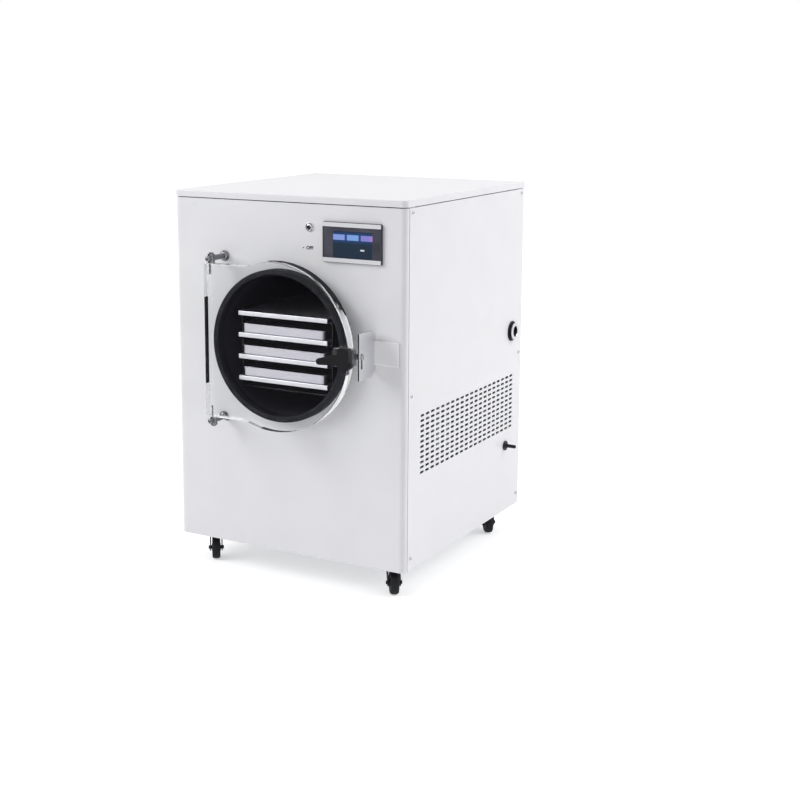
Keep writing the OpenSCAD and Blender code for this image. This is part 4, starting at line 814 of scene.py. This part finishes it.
def points_with_aims(name, places):
    """Loose points, each with the direction that its fastener faces."""
    mesh = bpy.data.meshes.new(name)
    mesh.from_pydata([p for p, _ in places], [], [])
    aims = mesh.attributes.new("aim", "FLOAT_VECTOR", "POINT")
    aims.data.foreach_set("vector", [c for _, a in places for c in a])
    return mesh


def cut(piece_mesh, tool_mesh, name):
    """Boolean difference of two meshes."""
    body, tool = linked(name, piece_mesh), linked(name + " tool", tool_mesh)
    modifier = body.modifiers.new("Cut", "BOOLEAN")
    modifier.object = tool
    modifier.operation = "DIFFERENCE"
    modifier.solver = "EXACT"
    mesh = smooth(evaluated(body))
    bpy.data.objects.remove(tool)
    return mesh


# ---- casing


def side_mesh(given, sign, holes, material):
    """Side panel: slotted sheet with its upper and lower folds; sign is 1 on the right."""
    node = "right_panel" if sign > 0 else "left_panel"
    low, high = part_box(node)
    outer = high.x if sign > 0 else low.x
    inner = outer - sign * SHEET
    outline = bpy.data.meshes.new("Outline")
    loops = [[(low.y, low.z), (high.y, low.z), (high.y, high.z), (low.y, high.z)]]
    loops += [arc(y, z, r, 0, 360 - 360 / 48, 47) for y, z, r in holes]
    points, edges = [], []
    for loop in loops:
        first = len(points)
        points += [(u, v, 0) for u, v in loop]
        edges += [(first + i, first + (i + 1) % len(loop)) for i in range(len(loop))]
    outline.from_pydata(points, edges, [])
    values = {
        "Columns": given.columns,
        "Rows": given.rows,
        "Slot Pitch": given.pitch_y,
        "Row Pitch": given.pitch_z,
        "Slot Length": given.slot_length,
        "Slot Height": given.slot_height,
        "First Slot": (FRONT_Y + given.first_y, low.z + given.first_z, 0),
        "Thickness": SHEET,
        "Material": material,
    }
    bm = bmesh.new()
    bm.from_mesh(grow(vented_sheet_tree(), outline, values))
    for v in bm.verts:
        v.co = Vector((inner + sign * v.co.z, v.co.x, v.co.y))
    x0, x1 = sorted((outer - sign * span(node).x, inner))
    for z in (low.z, high.z - SHEET):
        slab(bm, (x0, low.y + FOLD_FRONT, z), (x1, high.y - FOLD_BACK, z + SHEET))
    return as_mesh(node, bm)


def cross_head_screw(material):
    """Pan-head screw with a cross recess, its seat at the origin and its head along +Z."""
    r, h = SCREW_R, SCREW_H
    profile = [(0, 0), (r * 0.97, 0), (r, 0.12 * h), (r, 0.3 * h)]
    profile += [(r * math.cos(a), h * (0.3 + 0.7 * math.sin(a))) for a in (0.3, 0.6, 0.9, 1.2, 1.4)]
    profile += [(0, h)]
    head = as_mesh("Head", turned(profile, (0, 0, 0), (0, 0, 1), 32, closed=False), crisp=False)
    w, arm = 0.18 * r, 0.62 * r
    cross = [(-w, -arm), (w, -arm), (w, -w), (arm, -w), (arm, w), (w, w)]
    cross += [(-x, -y) for x, y in cross]
    recess = as_mesh("Recess", prism(cross, lambda u, v, z: (u, v, 0.4 * h + z), h), crisp=False)
    mesh = cut(head, recess, "Cross head screw")
    mesh.set_sharp_from_angle(angle=CREASE)
    mesh.materials.clear()
    mesh.materials.append(material)
    return mesh


def screw_mesh(name, places, material):
    """Cross-head screws on a list of (seat, direction) places."""
    holder = linked("Screw", cross_head_screw(material))
    values = {"Fastener": holder, "Material": material}
    mesh = grow(scattered_tree(name), points_with_aims(name, places), values)
    bpy.data.objects.remove(holder)
    mesh.set_sharp_from_angle(angle=CREASE)
    return mesh


def islands(node):
    """Middle and size of each separate solid in a node."""
    bm = welded(node)
    left, out = set(bm.verts), []
    while left:
        group, stack = [], [left.pop()]
        while stack:
            v = stack.pop()
            group.append(v.co.copy())
            for edge in v.link_edges:
                other = edge.other_vert(v)
                if other in left:
                    left.discard(other)
                    stack.append(other)
        low = Vector([min(c[i] for c in group) for i in range(3)])
        high = Vector([max(c[i] for c in group) for i in range(3)])
        out.append(((low + high) / 2, high - low, low, high))
    bm.free()
    return out


def panel_screw_places():
    """Seats of the panel screws, read from the frame's own screws."""
    places = []
    for centre, size, low, high in islands("panel_screws"):
        if abs(size.x - size.z) < abs(size.y - size.z):
            places.append(((centre.x, high.y - SCREW_H, centre.z), (0, 1, 0)))
        elif centre.x > DRUM.x:
            places.append(((high.x - SCREW_H, centre.y, centre.z), (1, 0, 0)))
        else:
            places.append(((low.x + SCREW_H, centre.y, centre.z), (-1, 0, 0)))
    return places


class BuildCasing(bpy.types.Operator):
    """Builds the folded sheet panels, their vents and their screws"""

    bl_idname = "dryer.casing"
    bl_label = "Casing"

    def execute(self, context):
        given = context.scene.dryer.casing
        coat = finish(powder_coated_steel, given.coat)
        eased("front_panel", coat, given.edge)
        port, drain = middle("port_grommet"), middle("drain_nozzle")
        holes = [(port.y, port.z, PORT_HOLE), (drain.y, drain.z, DRAIN_HOLE)]
        stand_in("right_panel", side_mesh(given, 1, holes, coat), coat)
        stand_in("left_panel", side_mesh(given, -1, [], coat), coat)
        eased("back_panel", coat, given.edge)
        eased("top_cover", coat, given.edge)
        steel = finish(brushed_stainless, "B9B9BD", 1, 1, 1)
        stand_in("panel_screws", screw_mesh("PanelScrews", panel_screw_places(), steel), steel)
        zinc = finish(galvanised_sheet, "A9ABAF")
        dress(zinc, "base_pan", "corner_posts", "chamber_cradle", "electrics_shelf", "control_box")
        return {"FINISHED"}


# ---- door


def door_mesh(given):
    """Round clear plate with a straight hinge edge, bevelled behind its middle, and two blind pin bores."""
    low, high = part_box("door_plate")
    r = high.x - DRUM.x
    half = given.hinge_half
    turn = 180 - math.degrees(math.asin(half / r))
    outline = arc(DRUM.x, DRUM.z, r, -turn, turn, 224)
    outline += [(low.x, DRUM.z + half), (low.x, DRUM.z - half)]
    plate = prism(outline, lambda u, v, w: (u, low.y + w, v), high.y - low.y)
    mesh = as_mesh("DoorPlate", plate, crisp=False)
    b, over = given.bevel, MM
    wedge = [(-over, over), (-over, -b), (0, -b), (b, 0), (b, over)]
    wedge = [(low.x + u, high.y + v) for u, v in wedge]
    z0 = DRUM.z - given.band / 2
    relief_tool = prism(wedge, lambda u, v, w: (u, v, z0 + w), given.band)
    mesh = cut(mesh, as_mesh("Wedge", relief_tool), "DoorPlate")
    pin = middle("hinge_pins")
    bore_r, depth = given.pin_bore / 2, given.pin_depth
    for sign in (-1, 1):
        ends = (DRUM.z + sign * (half + over), DRUM.z + sign * (half - depth))
        profile = [(0, ends[1]), (bore_r, ends[1]), (bore_r, ends[0]), (0, ends[0])]
        bore = turned(profile, (pin.x, pin.y, 0), (0, 0, 1), 40, closed=False)
        mesh = cut(mesh, as_mesh("Bore", bore), "DoorPlate")
    return banded(mesh, low, r, given)


def banded(mesh, low, r, given):
    """Marks the dark bands: on the hinge edge and the start of its bevel, and low on the round edge, where
    the band is a painted reflection of the black gasket.
    """
    bm = bmesh.new()
    bm.from_mesh(mesh)
    bmesh.ops.remove_doubles(bm, verts=bm.verts, dist=WELD)
    bmesh.ops.recalc_face_normals(bm, faces=bm.faces)
    wrap = low.x + given.band_wrap
    top = given.band / 2

    def at_edge(face):
        return face.normal.x < -0.5 and face.calc_center_median().x < low.x + given.bevel

    def at_rim(face):
        off = face.calc_center_median() - DRUM
        return abs(face.normal.y) < 0.5 and math.hypot(off.x, off.z) > r - MM and not at_edge(face)

    cuts = [((0, 0, DRUM.z + sign * top), (0, 0, 1)) for sign in (-1, 1)] + [((wrap, 0, 0), (1, 0, 0))]
    for place, across in cuts:
        faces = [f for f in bm.faces if at_edge(f)]
        edges = {e for f in faces for e in f.edges}
        verts = {v for f in faces for v in f.verts}
        bmesh.ops.bisect_plane(bm, geom=[*faces, *edges, *verts], plane_co=place, plane_no=across, dist=1e-7)
        bm.normal_update()
    for face in bm.faces:
        centre = face.calc_center_median()
        off = centre - DRUM
        angle = math.degrees(math.atan2(off.z, off.x))
        on_edge = at_edge(face) and abs(off.z) < top and centre.x < wrap
        # Low on the round edge the dark band is a painted reflection of the black gasket
        in_rim_reflection = at_rim(face) and RIM_REFLECTION[0] < angle < RIM_REFLECTION[1]
        face.material_index = 1 if on_edge or in_rim_reflection else 0
        face.smooth = True
    bm.to_mesh(mesh)
    bm.free()
    return mesh


def painted_shade_strip_mesh(given):
    """Thin dark strip round the upper right of the plate, from its back face forwards, narrowing to its ends:
    painted shade, standing in for the black gasket and the shaded gap round the drum's opening as seen
    through the rim.
    """
    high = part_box("door_plate")[1]
    air, thickness, narrowest = 0.15 * MM, 0.8 * MM, 0.08
    inner = high.x - DRUM.x + air
    outer = inner + thickness
    start, stop = RIM_SHADE
    steps = stop - start
    bm = bmesh.new()
    rings = []
    for k in range(steps + 1):
        a = math.radians(start + k)
        width = given.strip * max(narrowest, math.sin(math.pi * k / steps)) ** 0.5
        corners = ((inner, high.y), (outer, high.y), (outer, high.y - width), (inner, high.y - width))
        ring = [(DRUM.x + r * math.cos(a), y, DRUM.z + r * math.sin(a)) for r, y in corners]
        rings.append([bm.verts.new(corner) for corner in ring])
    return as_mesh("RimStrip", skin(bm, rings))


def gasket_mesh():
    """Moulded ring with a round nose, a lip inside and a grip round the drum's edge."""
    low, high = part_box("door_gasket")
    inner, outer = 147 * MM, (high.x - low.x) / 2
    grip_in, grip_out = 150 * MM, 153 * MM
    back, nose = high.y - DRUM.y, low.y - DRUM.y
    grip, round_r = nose + 3.6 * MM, 2.4 * MM
    section = [(inner, back), (grip_in, back), (grip_in, grip)]
    section += [(grip_out, grip), (grip_out, back), (outer, back)]
    for r, sign in ((outer, 1), (inner, -1)):
        centre = r - sign * round_r
        for a in quarter(6):
            along, across = (math.sin(a), math.cos(a)) if sign > 0 else (math.cos(a), math.sin(a))
            section.append((centre + sign * round_r * across, nose + round_r - round_r * along))
    return as_mesh("DoorGasket", turned(section, DRUM, (0, 1, 0), 192))


class BuildDoor(bpy.types.Operator):
    """Builds the clear door plate, its gasket and its hinges"""

    bl_idname = "dryer.door"
    bl_label = "Door"

    def execute(self, context):
        given = context.scene.dryer.door
        acrylic = finish(cast_acrylic, given.acrylic)
        rubber = finish(moulded_rubber, given.gasket)
        tape_and_reflection = finish(edge_taping_and_painted_reflection, given.gasket, given.acrylic)
        round_edges(stand_in("door_plate", door_mesh(given), acrylic, tape_and_reflection), given.rim)
        # The rim strip is painted shade: black where the gasket and the shaded gap round the drum's opening
        # show through the rim
        ready("RimStrip", painted_shade_strip_mesh(given), "door", rubber, slot="black_rubber")
        stand_in("door_gasket", gasket_mesh(), rubber)
        steel = finish(polished_stainless, "77777D")
        eased("hinge_posts", steel, 0.4 * MM)
        eased("hinge_pins", steel, 0.5 * MM)
        return {"FINISHED"}


# ---- latch


def keeper_mesh():
    """Keeper as in the frame; its edges, past the foot, are a second, darker material: a painted reflection
    of the dark that they face.
    """
    mesh = merged_copy("latch_keeper")
    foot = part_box("latch_keeper")[1].y - 6 * MM
    for face in mesh.polygons:
        face.material_index = int(abs(face.normal.x) < 0.5 and face.center.y < foot)
    return mesh


class BuildLatch(bpy.types.Operator):
    """Builds the latch block, its lever and spindle, the keeper and the bar"""

    bl_idname = "dryer.latch"
    bl_label = "Latch"

    def execute(self, context):
        plate = finish(satin_aluminium, "E2E2E6")
        # The keeper's darker edges are a painted reflection
        painted_edge_reflection = finish(polished_stainless, "64646C")
        round_edges(stand_in("latch_keeper", keeper_mesh(), plate, painted_edge_reflection), 0.3 * MM)
        steel = finish(polished_stainless, "B4B4B6")
        eased("latch_body", steel, 0.8 * MM)
        eased("latch_spindle", steel, 0.4 * MM)
        eased("latch_bar", finish(moulded_abs, "E9E9EC", 0.4), 0.5 * MM)
        eased("latch_lever", finish(moulded_nylon, "111114"), 1.6 * MM, 4)
        low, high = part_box("latch_keeper")
        seat_x, seat_y, up = low.x + 12.5 * MM, high.y - 3 * MM, 24 * MM
        places = [((seat_x, seat_y, DRUM.z + z), (0, -1, 0)) for z in (-up, up)]
        ready("KeeperScrews", screw_mesh("KeeperScrews", places, steel), "cabinet", steel, slot="screws")
        return {"FINISHED"}


# ---- chamber


def drum_mesh():
    """Drum with a rounded lip and an end plate, and its collar; the inside is a second material."""
    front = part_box("chamber")[0].y - DRUM.y
    inner, outer = DRUM_R - DRUM_WALL, DRUM_R
    end = front + DRUM_LENGTH
    back = end + DRUM_END
    lip, ease, bend, air = 1.4 * MM, 0.4 * MM, 6 * MM, 0.05 * MM
    profile = [(0, end), (inner - bend, end), (inner - 0.3 * bend, end - 0.3 * bend), (inner, end - bend)]
    profile += [(inner, front + lip), (inner + ease, front + ease), (inner + 1.5 * MM, front)]
    profile += [(outer - ease, front + ease), (outer, front + lip), (outer, back), (0, back)]
    bm = turned(profile, DRUM, (0, 1, 0), 192, closed=False)
    fixed = FRONT_Y + SHEET - DRUM.y
    collar = [(outer + air, 0), (outer + COLLAR_WIDTH, 0)]
    collar += [(r, COLLAR_DEPTH) for r, _ in reversed(collar)]
    turned([(r, fixed + y) for r, y in collar], DRUM, (0, 1, 0), 128, bm)
    mesh = as_mesh("Drum", bm)
    for face in mesh.polygons:
        off = face.center - DRUM
        face.material_index = int(math.hypot(off.x, off.z) < inner + 0.6 * MM and off.y < end + MM)
    return mesh


def tray_mesh(node):
    """Open tray with round corners, a radius along its floor and a rolled rim."""
    low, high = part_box(node)
    centre = (low + high) / 2
    wall, corner, fold, rim = 1.2 * MM, 8 * MM, 3 * MM, 1.5 * MM
    bead, flat, overhang, drop = 1.2 * MM, 0.62, 0.75 * MM, 1.6 * MM
    w, d = high.x - low.x - 2 * rim, high.y - low.y - 2 * rim
    bm = bmesh.new()
    rings = []

    def ring(inset, z):
        outline = plate_outline(w - 2 * inset, d - 2 * inset, max(corner - inset, rim), 8)
        rings.append([bm.verts.new((centre.x + x, centre.y + y, z)) for x, y in outline])

    for a in quarter(4):
        ring(fold * (1 - math.sin(a)), low.z + fold * (1 - math.cos(a)))
    ring(0, high.z - 2 * bead)
    for a in (0.0, 0.8, 1.6, 2.4, math.pi, 3.9):
        ring(-overhang - bead * flat * math.sin(a), high.z - bead - bead * math.cos(a))
    ring(wall, high.z - drop)
    for a in reversed(quarter(4)):
        ring(wall + (fold - wall) * (1 - math.sin(a)), low.z + wall + (fold - wall) * (1 - math.cos(a)))
    return as_mesh(node, skin(bm, rings))


class BuildChamber(bpy.types.Operator):
    """Builds the drum, the heating shelves, the trays and the rack"""

    bl_idname = "dryer.chamber"
    bl_label = "Chamber"

    def execute(self, context):
        given = context.scene.dryer.chamber
        stainless = finish(brushed_stainless, "B9B9BD", 8, 1, 1)
        stand_in("chamber", drum_mesh(), stainless, finish(dark_lining, given.lining), name="Drum")
        for i in range(1, 5):
            eased(f"heating_shelf_{i}", finish(satin_aluminium, given.shelf), 0.5 * MM)
        for i in range(1, 4):
            stand_in(f"tray_{i}", tray_mesh(f"tray_{i}"), finish(brushed_stainless, given.tray, 1, 14, 1))
        dress(finish(moulded_nylon, "121216"), "rack_frame")
        dress(finish(rigid_foam, "E3DAB8"), "foam_jacket")
        return {"FINISHED"}


# ---- controls


def front_patch(name, x, z, w, h, r, back, proud):
    """Thin plate with round corners, lying in front of the plane y = back."""
    outline = [(x + u, z + v) for u, v in plate_outline(w, h, r)]
    return as_mesh(name, prism(outline, lambda u, v, t: (u, back - t, v), proud))


def legend_mesh(words, height, bold, x, z, back):
    """Printed words, centred at x and z, a hair in front of the plane y = back; bold thickens the strokes."""
    hair, capital = 0.03 * MM, 0.69
    curve = bpy.data.curves.new("Legend", "FONT")
    curve.body = words
    curve.size = height / capital
    curve.align_x = "CENTER"
    curve.align_y = "CENTER"
    curve.extrude = hair
    curve.offset = bold
    mesh = evaluated(linked("Legend", curve))
    mesh.transform(Matrix.Translation((x, back - hair, z)) @ Matrix.Rotation(math.pi / 2, 4, "X"))
    return mesh


class BuildControls(bpy.types.Operator):
    """Builds the operator screen, the power button and its legend"""

    bl_idname = "dryer.controls"
    bl_label = "Controls"

    def execute(self, context):
        given = context.scene.dryer.controls
        self.frame_screen()
        self.light_screen(given)
        chrome = finish(bright_chrome, "D4D4D8")
        eased("button_collar", chrome, 0.3 * MM)
        eased("power_button", chrome, 0.25 * MM)
        button = middle("power_button")
        x, z = button.x, button.z - LEGEND_DROP
        ink = finish(screen_print, given.legend)
        words = legend_mesh("OFF", LEGEND_HEIGHT, LEGEND_BOLD, x, z, FRONT_Y)
        ready("SwitchLegend", words, "cabinet", ink, slot="screen_frame")
        dot = front_patch("LegendDot", x - DOT_LEFT, z, DOT_SIZE, DOT_SIZE, 1.45 * MM, FRONT_Y, 0.06 * MM)
        ready("LegendDot", dot, "cabinet", ink, slot="screen_frame")
        return {"FINISHED"}

    def frame_screen(self):
        """The housing with its two pale rails."""
        eased("screen_housing", finish(moulded_abs, "3B3C48", 0.42), 0.7 * MM)
        low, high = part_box("screen_housing")
        width = high.x - low.x - 1.5 * MM
        rail, margin = 8.6 * MM, 0.9 * MM
        silver = finish(moulded_abs, "DEDEE2", 0.4)
        middle_x = (low.x + high.x) / 2
        top, bottom = high.z - margin - rail / 2, low.z + margin + rail / 2
        for name, z in (("ScreenRailTop", top), ("ScreenRailBottom", bottom)):
            plate = front_patch(name, middle_x, z, width, rail, 1.6 * MM, low.y, 0.7 * MM)
            round_edges(ready(name, plate, "cabinet", silver, slot="screen_frame"), 0.25 * MM)

    def light_screen(self, given):
        """The cover glass and what is lit behind it."""
        eased("screen_glass", finish(display_glass, given.bezel), 0.2 * MM)
        low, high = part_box("screen_glass")
        width, height = high.x - low.x, high.z - low.z

        def lit(name, share, layer, material):
            """A lit patch of the glass, its middle and size given as shares of the glass."""
            u, v, w, h = share
            x, z = low.x + u * width, high.z - v * height
            patch = front_patch(name, x, z, w * width, h * height, 0.5 * MM, low.y, layer * 0.05 * MM)
            ready(name, patch, "cabinet", material, slot="screen_cover")

        tab_z = high.z - TAB_V * height
        lit("ScreenDisplay", DISPLAY, 1, finish(idle_display, given.display, given.glow, tab_z, 0.2 * height))
        ends = (given.bar_1, given.bar_2, given.bar_end)
        for i, colour in enumerate((given.bar_1, given.bar_2, given.bar_3)):
            u = FIRST_TAB + TAB_STEP * i
            x = low.x + u * width
            tab = finish(lit_area, colour, ends[i], x + 2 * MM, x + 12 * MM)
            lit(f"ScreenTab{i + 1}", (u, TAB_V, TAB_W, TAB_H), 2, tab)
        lit("ScreenMark", MARK, 2, finish(lit_area, "E6EAF2", "E6EAF2", 0.0, 1.0))


# ---- fittings and machinery


class BuildFittings(bpy.types.Operator):
    """Builds the ports, the drain, the mains inlet and the machinery behind the vents"""

    bl_idname = "dryer.fittings"
    bl_label = "Fittings"

    def execute(self, context):
        stainless = finish(polished_stainless, "C6C6CA")
        rubber = finish(moulded_rubber, "17161C")
        nylon = finish(moulded_nylon, "17171B")
        eased("vacuum_port", stainless, 0.3 * MM)
        eased("port_grommet", rubber, 0.4 * MM)
        eased("drain_nozzle", nylon, 0.25 * MM)
        eased("power_inlet", nylon, 0.3 * MM)
        dress(finish(black_enamel, "1C1C20"), "compressor")
        copper = finish(copper_tube, "C08058")
        dress(copper, "condenser_lines", "suction_line", "evaporator_coil", "filter_drier")
        dress(finish(satin_aluminium, "B4B6BA"), "condenser")
        dress(finish(galvanised_sheet, "A9ABAF"), "fan_shroud")
        dress(finish(moulded_abs, "2C2D30", 0.45), "fan_motor", "fan_blades", "vacuum_gauge")
        dress(rubber, "compressor_grommets")
        dress(stainless, "vacuum_pipe")
        dress(finish(silicone_hose, "D8DADD"), "drain_hose")
        return {"FINISHED"}


# ---- castors


class BuildCastors(bpy.types.Operator):
    """Builds the four swivel castors"""

    bl_idname = "dryer.castors"
    bl_label = "Castors"

    def execute(self, context):
        given = context.scene.dryer.castors
        enamel = finish(black_enamel, given.black)
        tread = finish(moulded_rubber, given.black)
        dress(finish(galvanised_sheet, "A9ABAF"), "castor_plates")
        for place in ("fl", "fr", "rl", "rr"):
            eased(f"castor_fork_{place}", enamel, 0.5 * MM, name=f"CastorFork_{place}")
            eased(f"castor_wheel_{place}", tread, 0.4 * MM, name=f"CastorWheel_{place}")
        return {"FINISHED"}


# ---- stage


def area_light(name, at, target, side, watts):
    light = bpy.data.lights.new(name, "AREA")
    light.shape = "RECTANGLE"
    light.size = light.size_y = side
    light.energy = watts
    lamp = linked(name, light)
    lamp.location = at
    lamp.rotation_euler = (Vector(target) - Vector(at)).to_track_quat("-Z", "Y").to_euler()
    return lamp


def background_rays(tree):
    """1 for the rays that see the background: from the camera, in gloss and through clear pieces."""
    path = add(tree, "ShaderNodeLightPath").outputs
    seen = maths(tree, "MAXIMUM", path["Is Camera Ray"], path["Is Glossy Ray"])
    return maths(tree, "MAXIMUM", seen, path["Is Transmission Ray"])


def dark_cloth(name, corners):
    """Black studio cloth, seen only as the dark that gloss and clear plastic mirror."""
    look = Look("Black cloth", "48474D", 0.9, specular_ior_level=0.0)
    look.roughness(look.grain(2 * MM), 0.8, 1.0)
    path = add(look.tree, "ShaderNodeLightPath").outputs
    # What lies behind the door mirrors the pale room, so the cloth is gone after two clear faces
    glossed = maths(look.tree, "GREATER_THAN", path["Glossy Depth"], 0.5)
    outside = maths(look.tree, "LESS_THAN", path["Transmission Depth"], 2.5)
    hidden = maths(look.tree, "SUBTRACT", 1.0, maths(look.tree, "MULTIPLY", glossed, outside))
    look.instead(hidden, feed(look.tree, "ShaderNodeBsdfTransparent"))
    bm = bmesh.new()
    bm.faces.new([bm.verts.new(corner) for corner in corners])
    cloth = linked(name, as_mesh(name, bm))
    cloth.data.materials.append(look.material)
    cloth.visible_camera = False
    cloth.visible_diffuse = False
    cloth.visible_shadow = False
    return cloth


def studio_floor(glow):
    """Pale floor with a faint mottle; its glow shows it white away from the shadow."""
    look = Look("Studio floor", "F4F4F5", 0.7, emission_color=(1, 1, 1, 1))
    patch = look.grain(0.4)
    look.drive("Base Color", blended(look.tree, between(look.tree, patch, 0, 1), "F2F2F3", "F6F6F7"))
    # Away from the lamps the floor needs more glow to look as white
    near, far, more = 1.5, 5.0, 0.2
    distance = add(look.tree, "ShaderNodeVectorMath", {0: look.coords}, operation="LENGTH").outputs["Value"]
    level = between(look.tree, distance, glow, glow + more, near, far)
    look.drive("Emission Strength", maths(look.tree, "MULTIPLY", background_rays(look.tree), level))
    bm = bmesh.new()
    bmesh.ops.create_grid(bm, x_segments=8, y_segments=8, size=FLOOR_HALF)
    floor = linked("StudioFloor", as_mesh("StudioFloor", bm))
    floor.data.materials.append(look.material)
    return floor


def white_surround(strength):
    """Even surrounding light that the camera and clear pieces see as plain white."""
    world = bpy.data.worlds.new("Surround")
    bpy.context.scene.world = world
    world.use_nodes = True
    tree = world.node_tree
    tree.nodes.clear()
    light, seen = [
        feed(tree, "ShaderNodeBackground", {"Color": (1, 1, 1, 1), "Strength": level})
        for level in (strength, 1.0)
    ]
    mixed = feed(tree, "ShaderNodeMixShader", {0: background_rays(tree), 1: light, 2: seen})
    add(tree, "ShaderNodeOutputWorld", {"Surface": mixed})


class BuildStage(bpy.types.Operator):
    """Sets the camera, the lights and the floor"""

    bl_idname = "dryer.stage"
    bl_label = "Stage"

    def execute(self, context):
        given = context.scene.dryer.stage
        scene = context.scene
        camera = linked("Camera", bpy.data.cameras.new("Camera"))
        camera.location = CAMERA_AT
        camera.rotation_euler = [math.radians(angle) for angle in CAMERA_TURN]
        camera.data.lens = given.lens
        camera.data.shift_x, camera.data.shift_y = CAMERA_SHIFT
        scene.camera = camera
        lamps = [area_light(name, at, aim, side, getattr(given, key)) for name, key, at, aim, side in LAMPS]
        white_surround(given.sky)
        cloths = [dark_cloth(name, corners) for name, corners in CLOTHS]
        studio_floor(given.glow)
        # Light crosses the plate, and what it guides along itself, many times
        scene.cycles.glossy_bounces = 24
        scene.cycles.transmission_bounces = 24
        scene.cycles.max_bounces = 32
        scene.view_settings.view_transform = "Standard"
        return {"FINISHED"}


# ---- panel and registration


class DryerPanel(bpy.types.Panel):
    """Settings and build steps of the freeze dryer"""

    bl_idname = "VIEW3D_PT_dryer"
    bl_label = "Freeze Dryer"
    bl_space_type = "VIEW_3D"
    bl_region_type = "UI"
    bl_category = "Freeze Dryer"

    def draw(self, context):
        given = context.scene.dryer
        for label, group, steps in GROUPS:
            box = self.layout.box()
            box.label(text=label)
            if group:
                settings = getattr(given, group)
                for name in settings.bl_rna.properties.keys():
                    if name not in ("rna_type", "name"):
                        box.prop(settings, name)
            for step in steps:
                box.operator(step.bl_idname)


GROUPS = (
    ("Casing", "casing", (BuildCasing,)),
    ("Door", "door", (BuildDoor, BuildLatch)),
    ("Chamber", "chamber", (BuildChamber,)),
    ("Controls", "controls", (BuildControls,)),
    ("Fittings", None, (BuildFittings,)),
    ("Castors", "castors", (BuildCastors,)),
    ("Stage", "stage", (BuildStage,)),
)
CLASSES = (
    CasingSettings,
    DoorSettings,
    ChamberSettings,
    ControlSettings,
    CastorSettings,
    StageSettings,
    DryerSettings,
    *(step for _, _, steps in GROUPS for step in steps),
    DryerPanel,
)


def register():
    for item in CLASSES:
        bpy.utils.register_class(item)
    bpy.types.Scene.dryer = PointerProperty(type=DryerSettings)


def unregister():
    del bpy.types.Scene.dryer
    for item in reversed(CLASSES):
        bpy.utils.unregister_class(item)


def main():
    register()
    for _, _, steps in GROUPS:
        for step in steps:
            area, name = step.bl_idname.split(".")
            getattr(getattr(bpy.ops, area), name)()


if __name__ == "__main__":
    main()
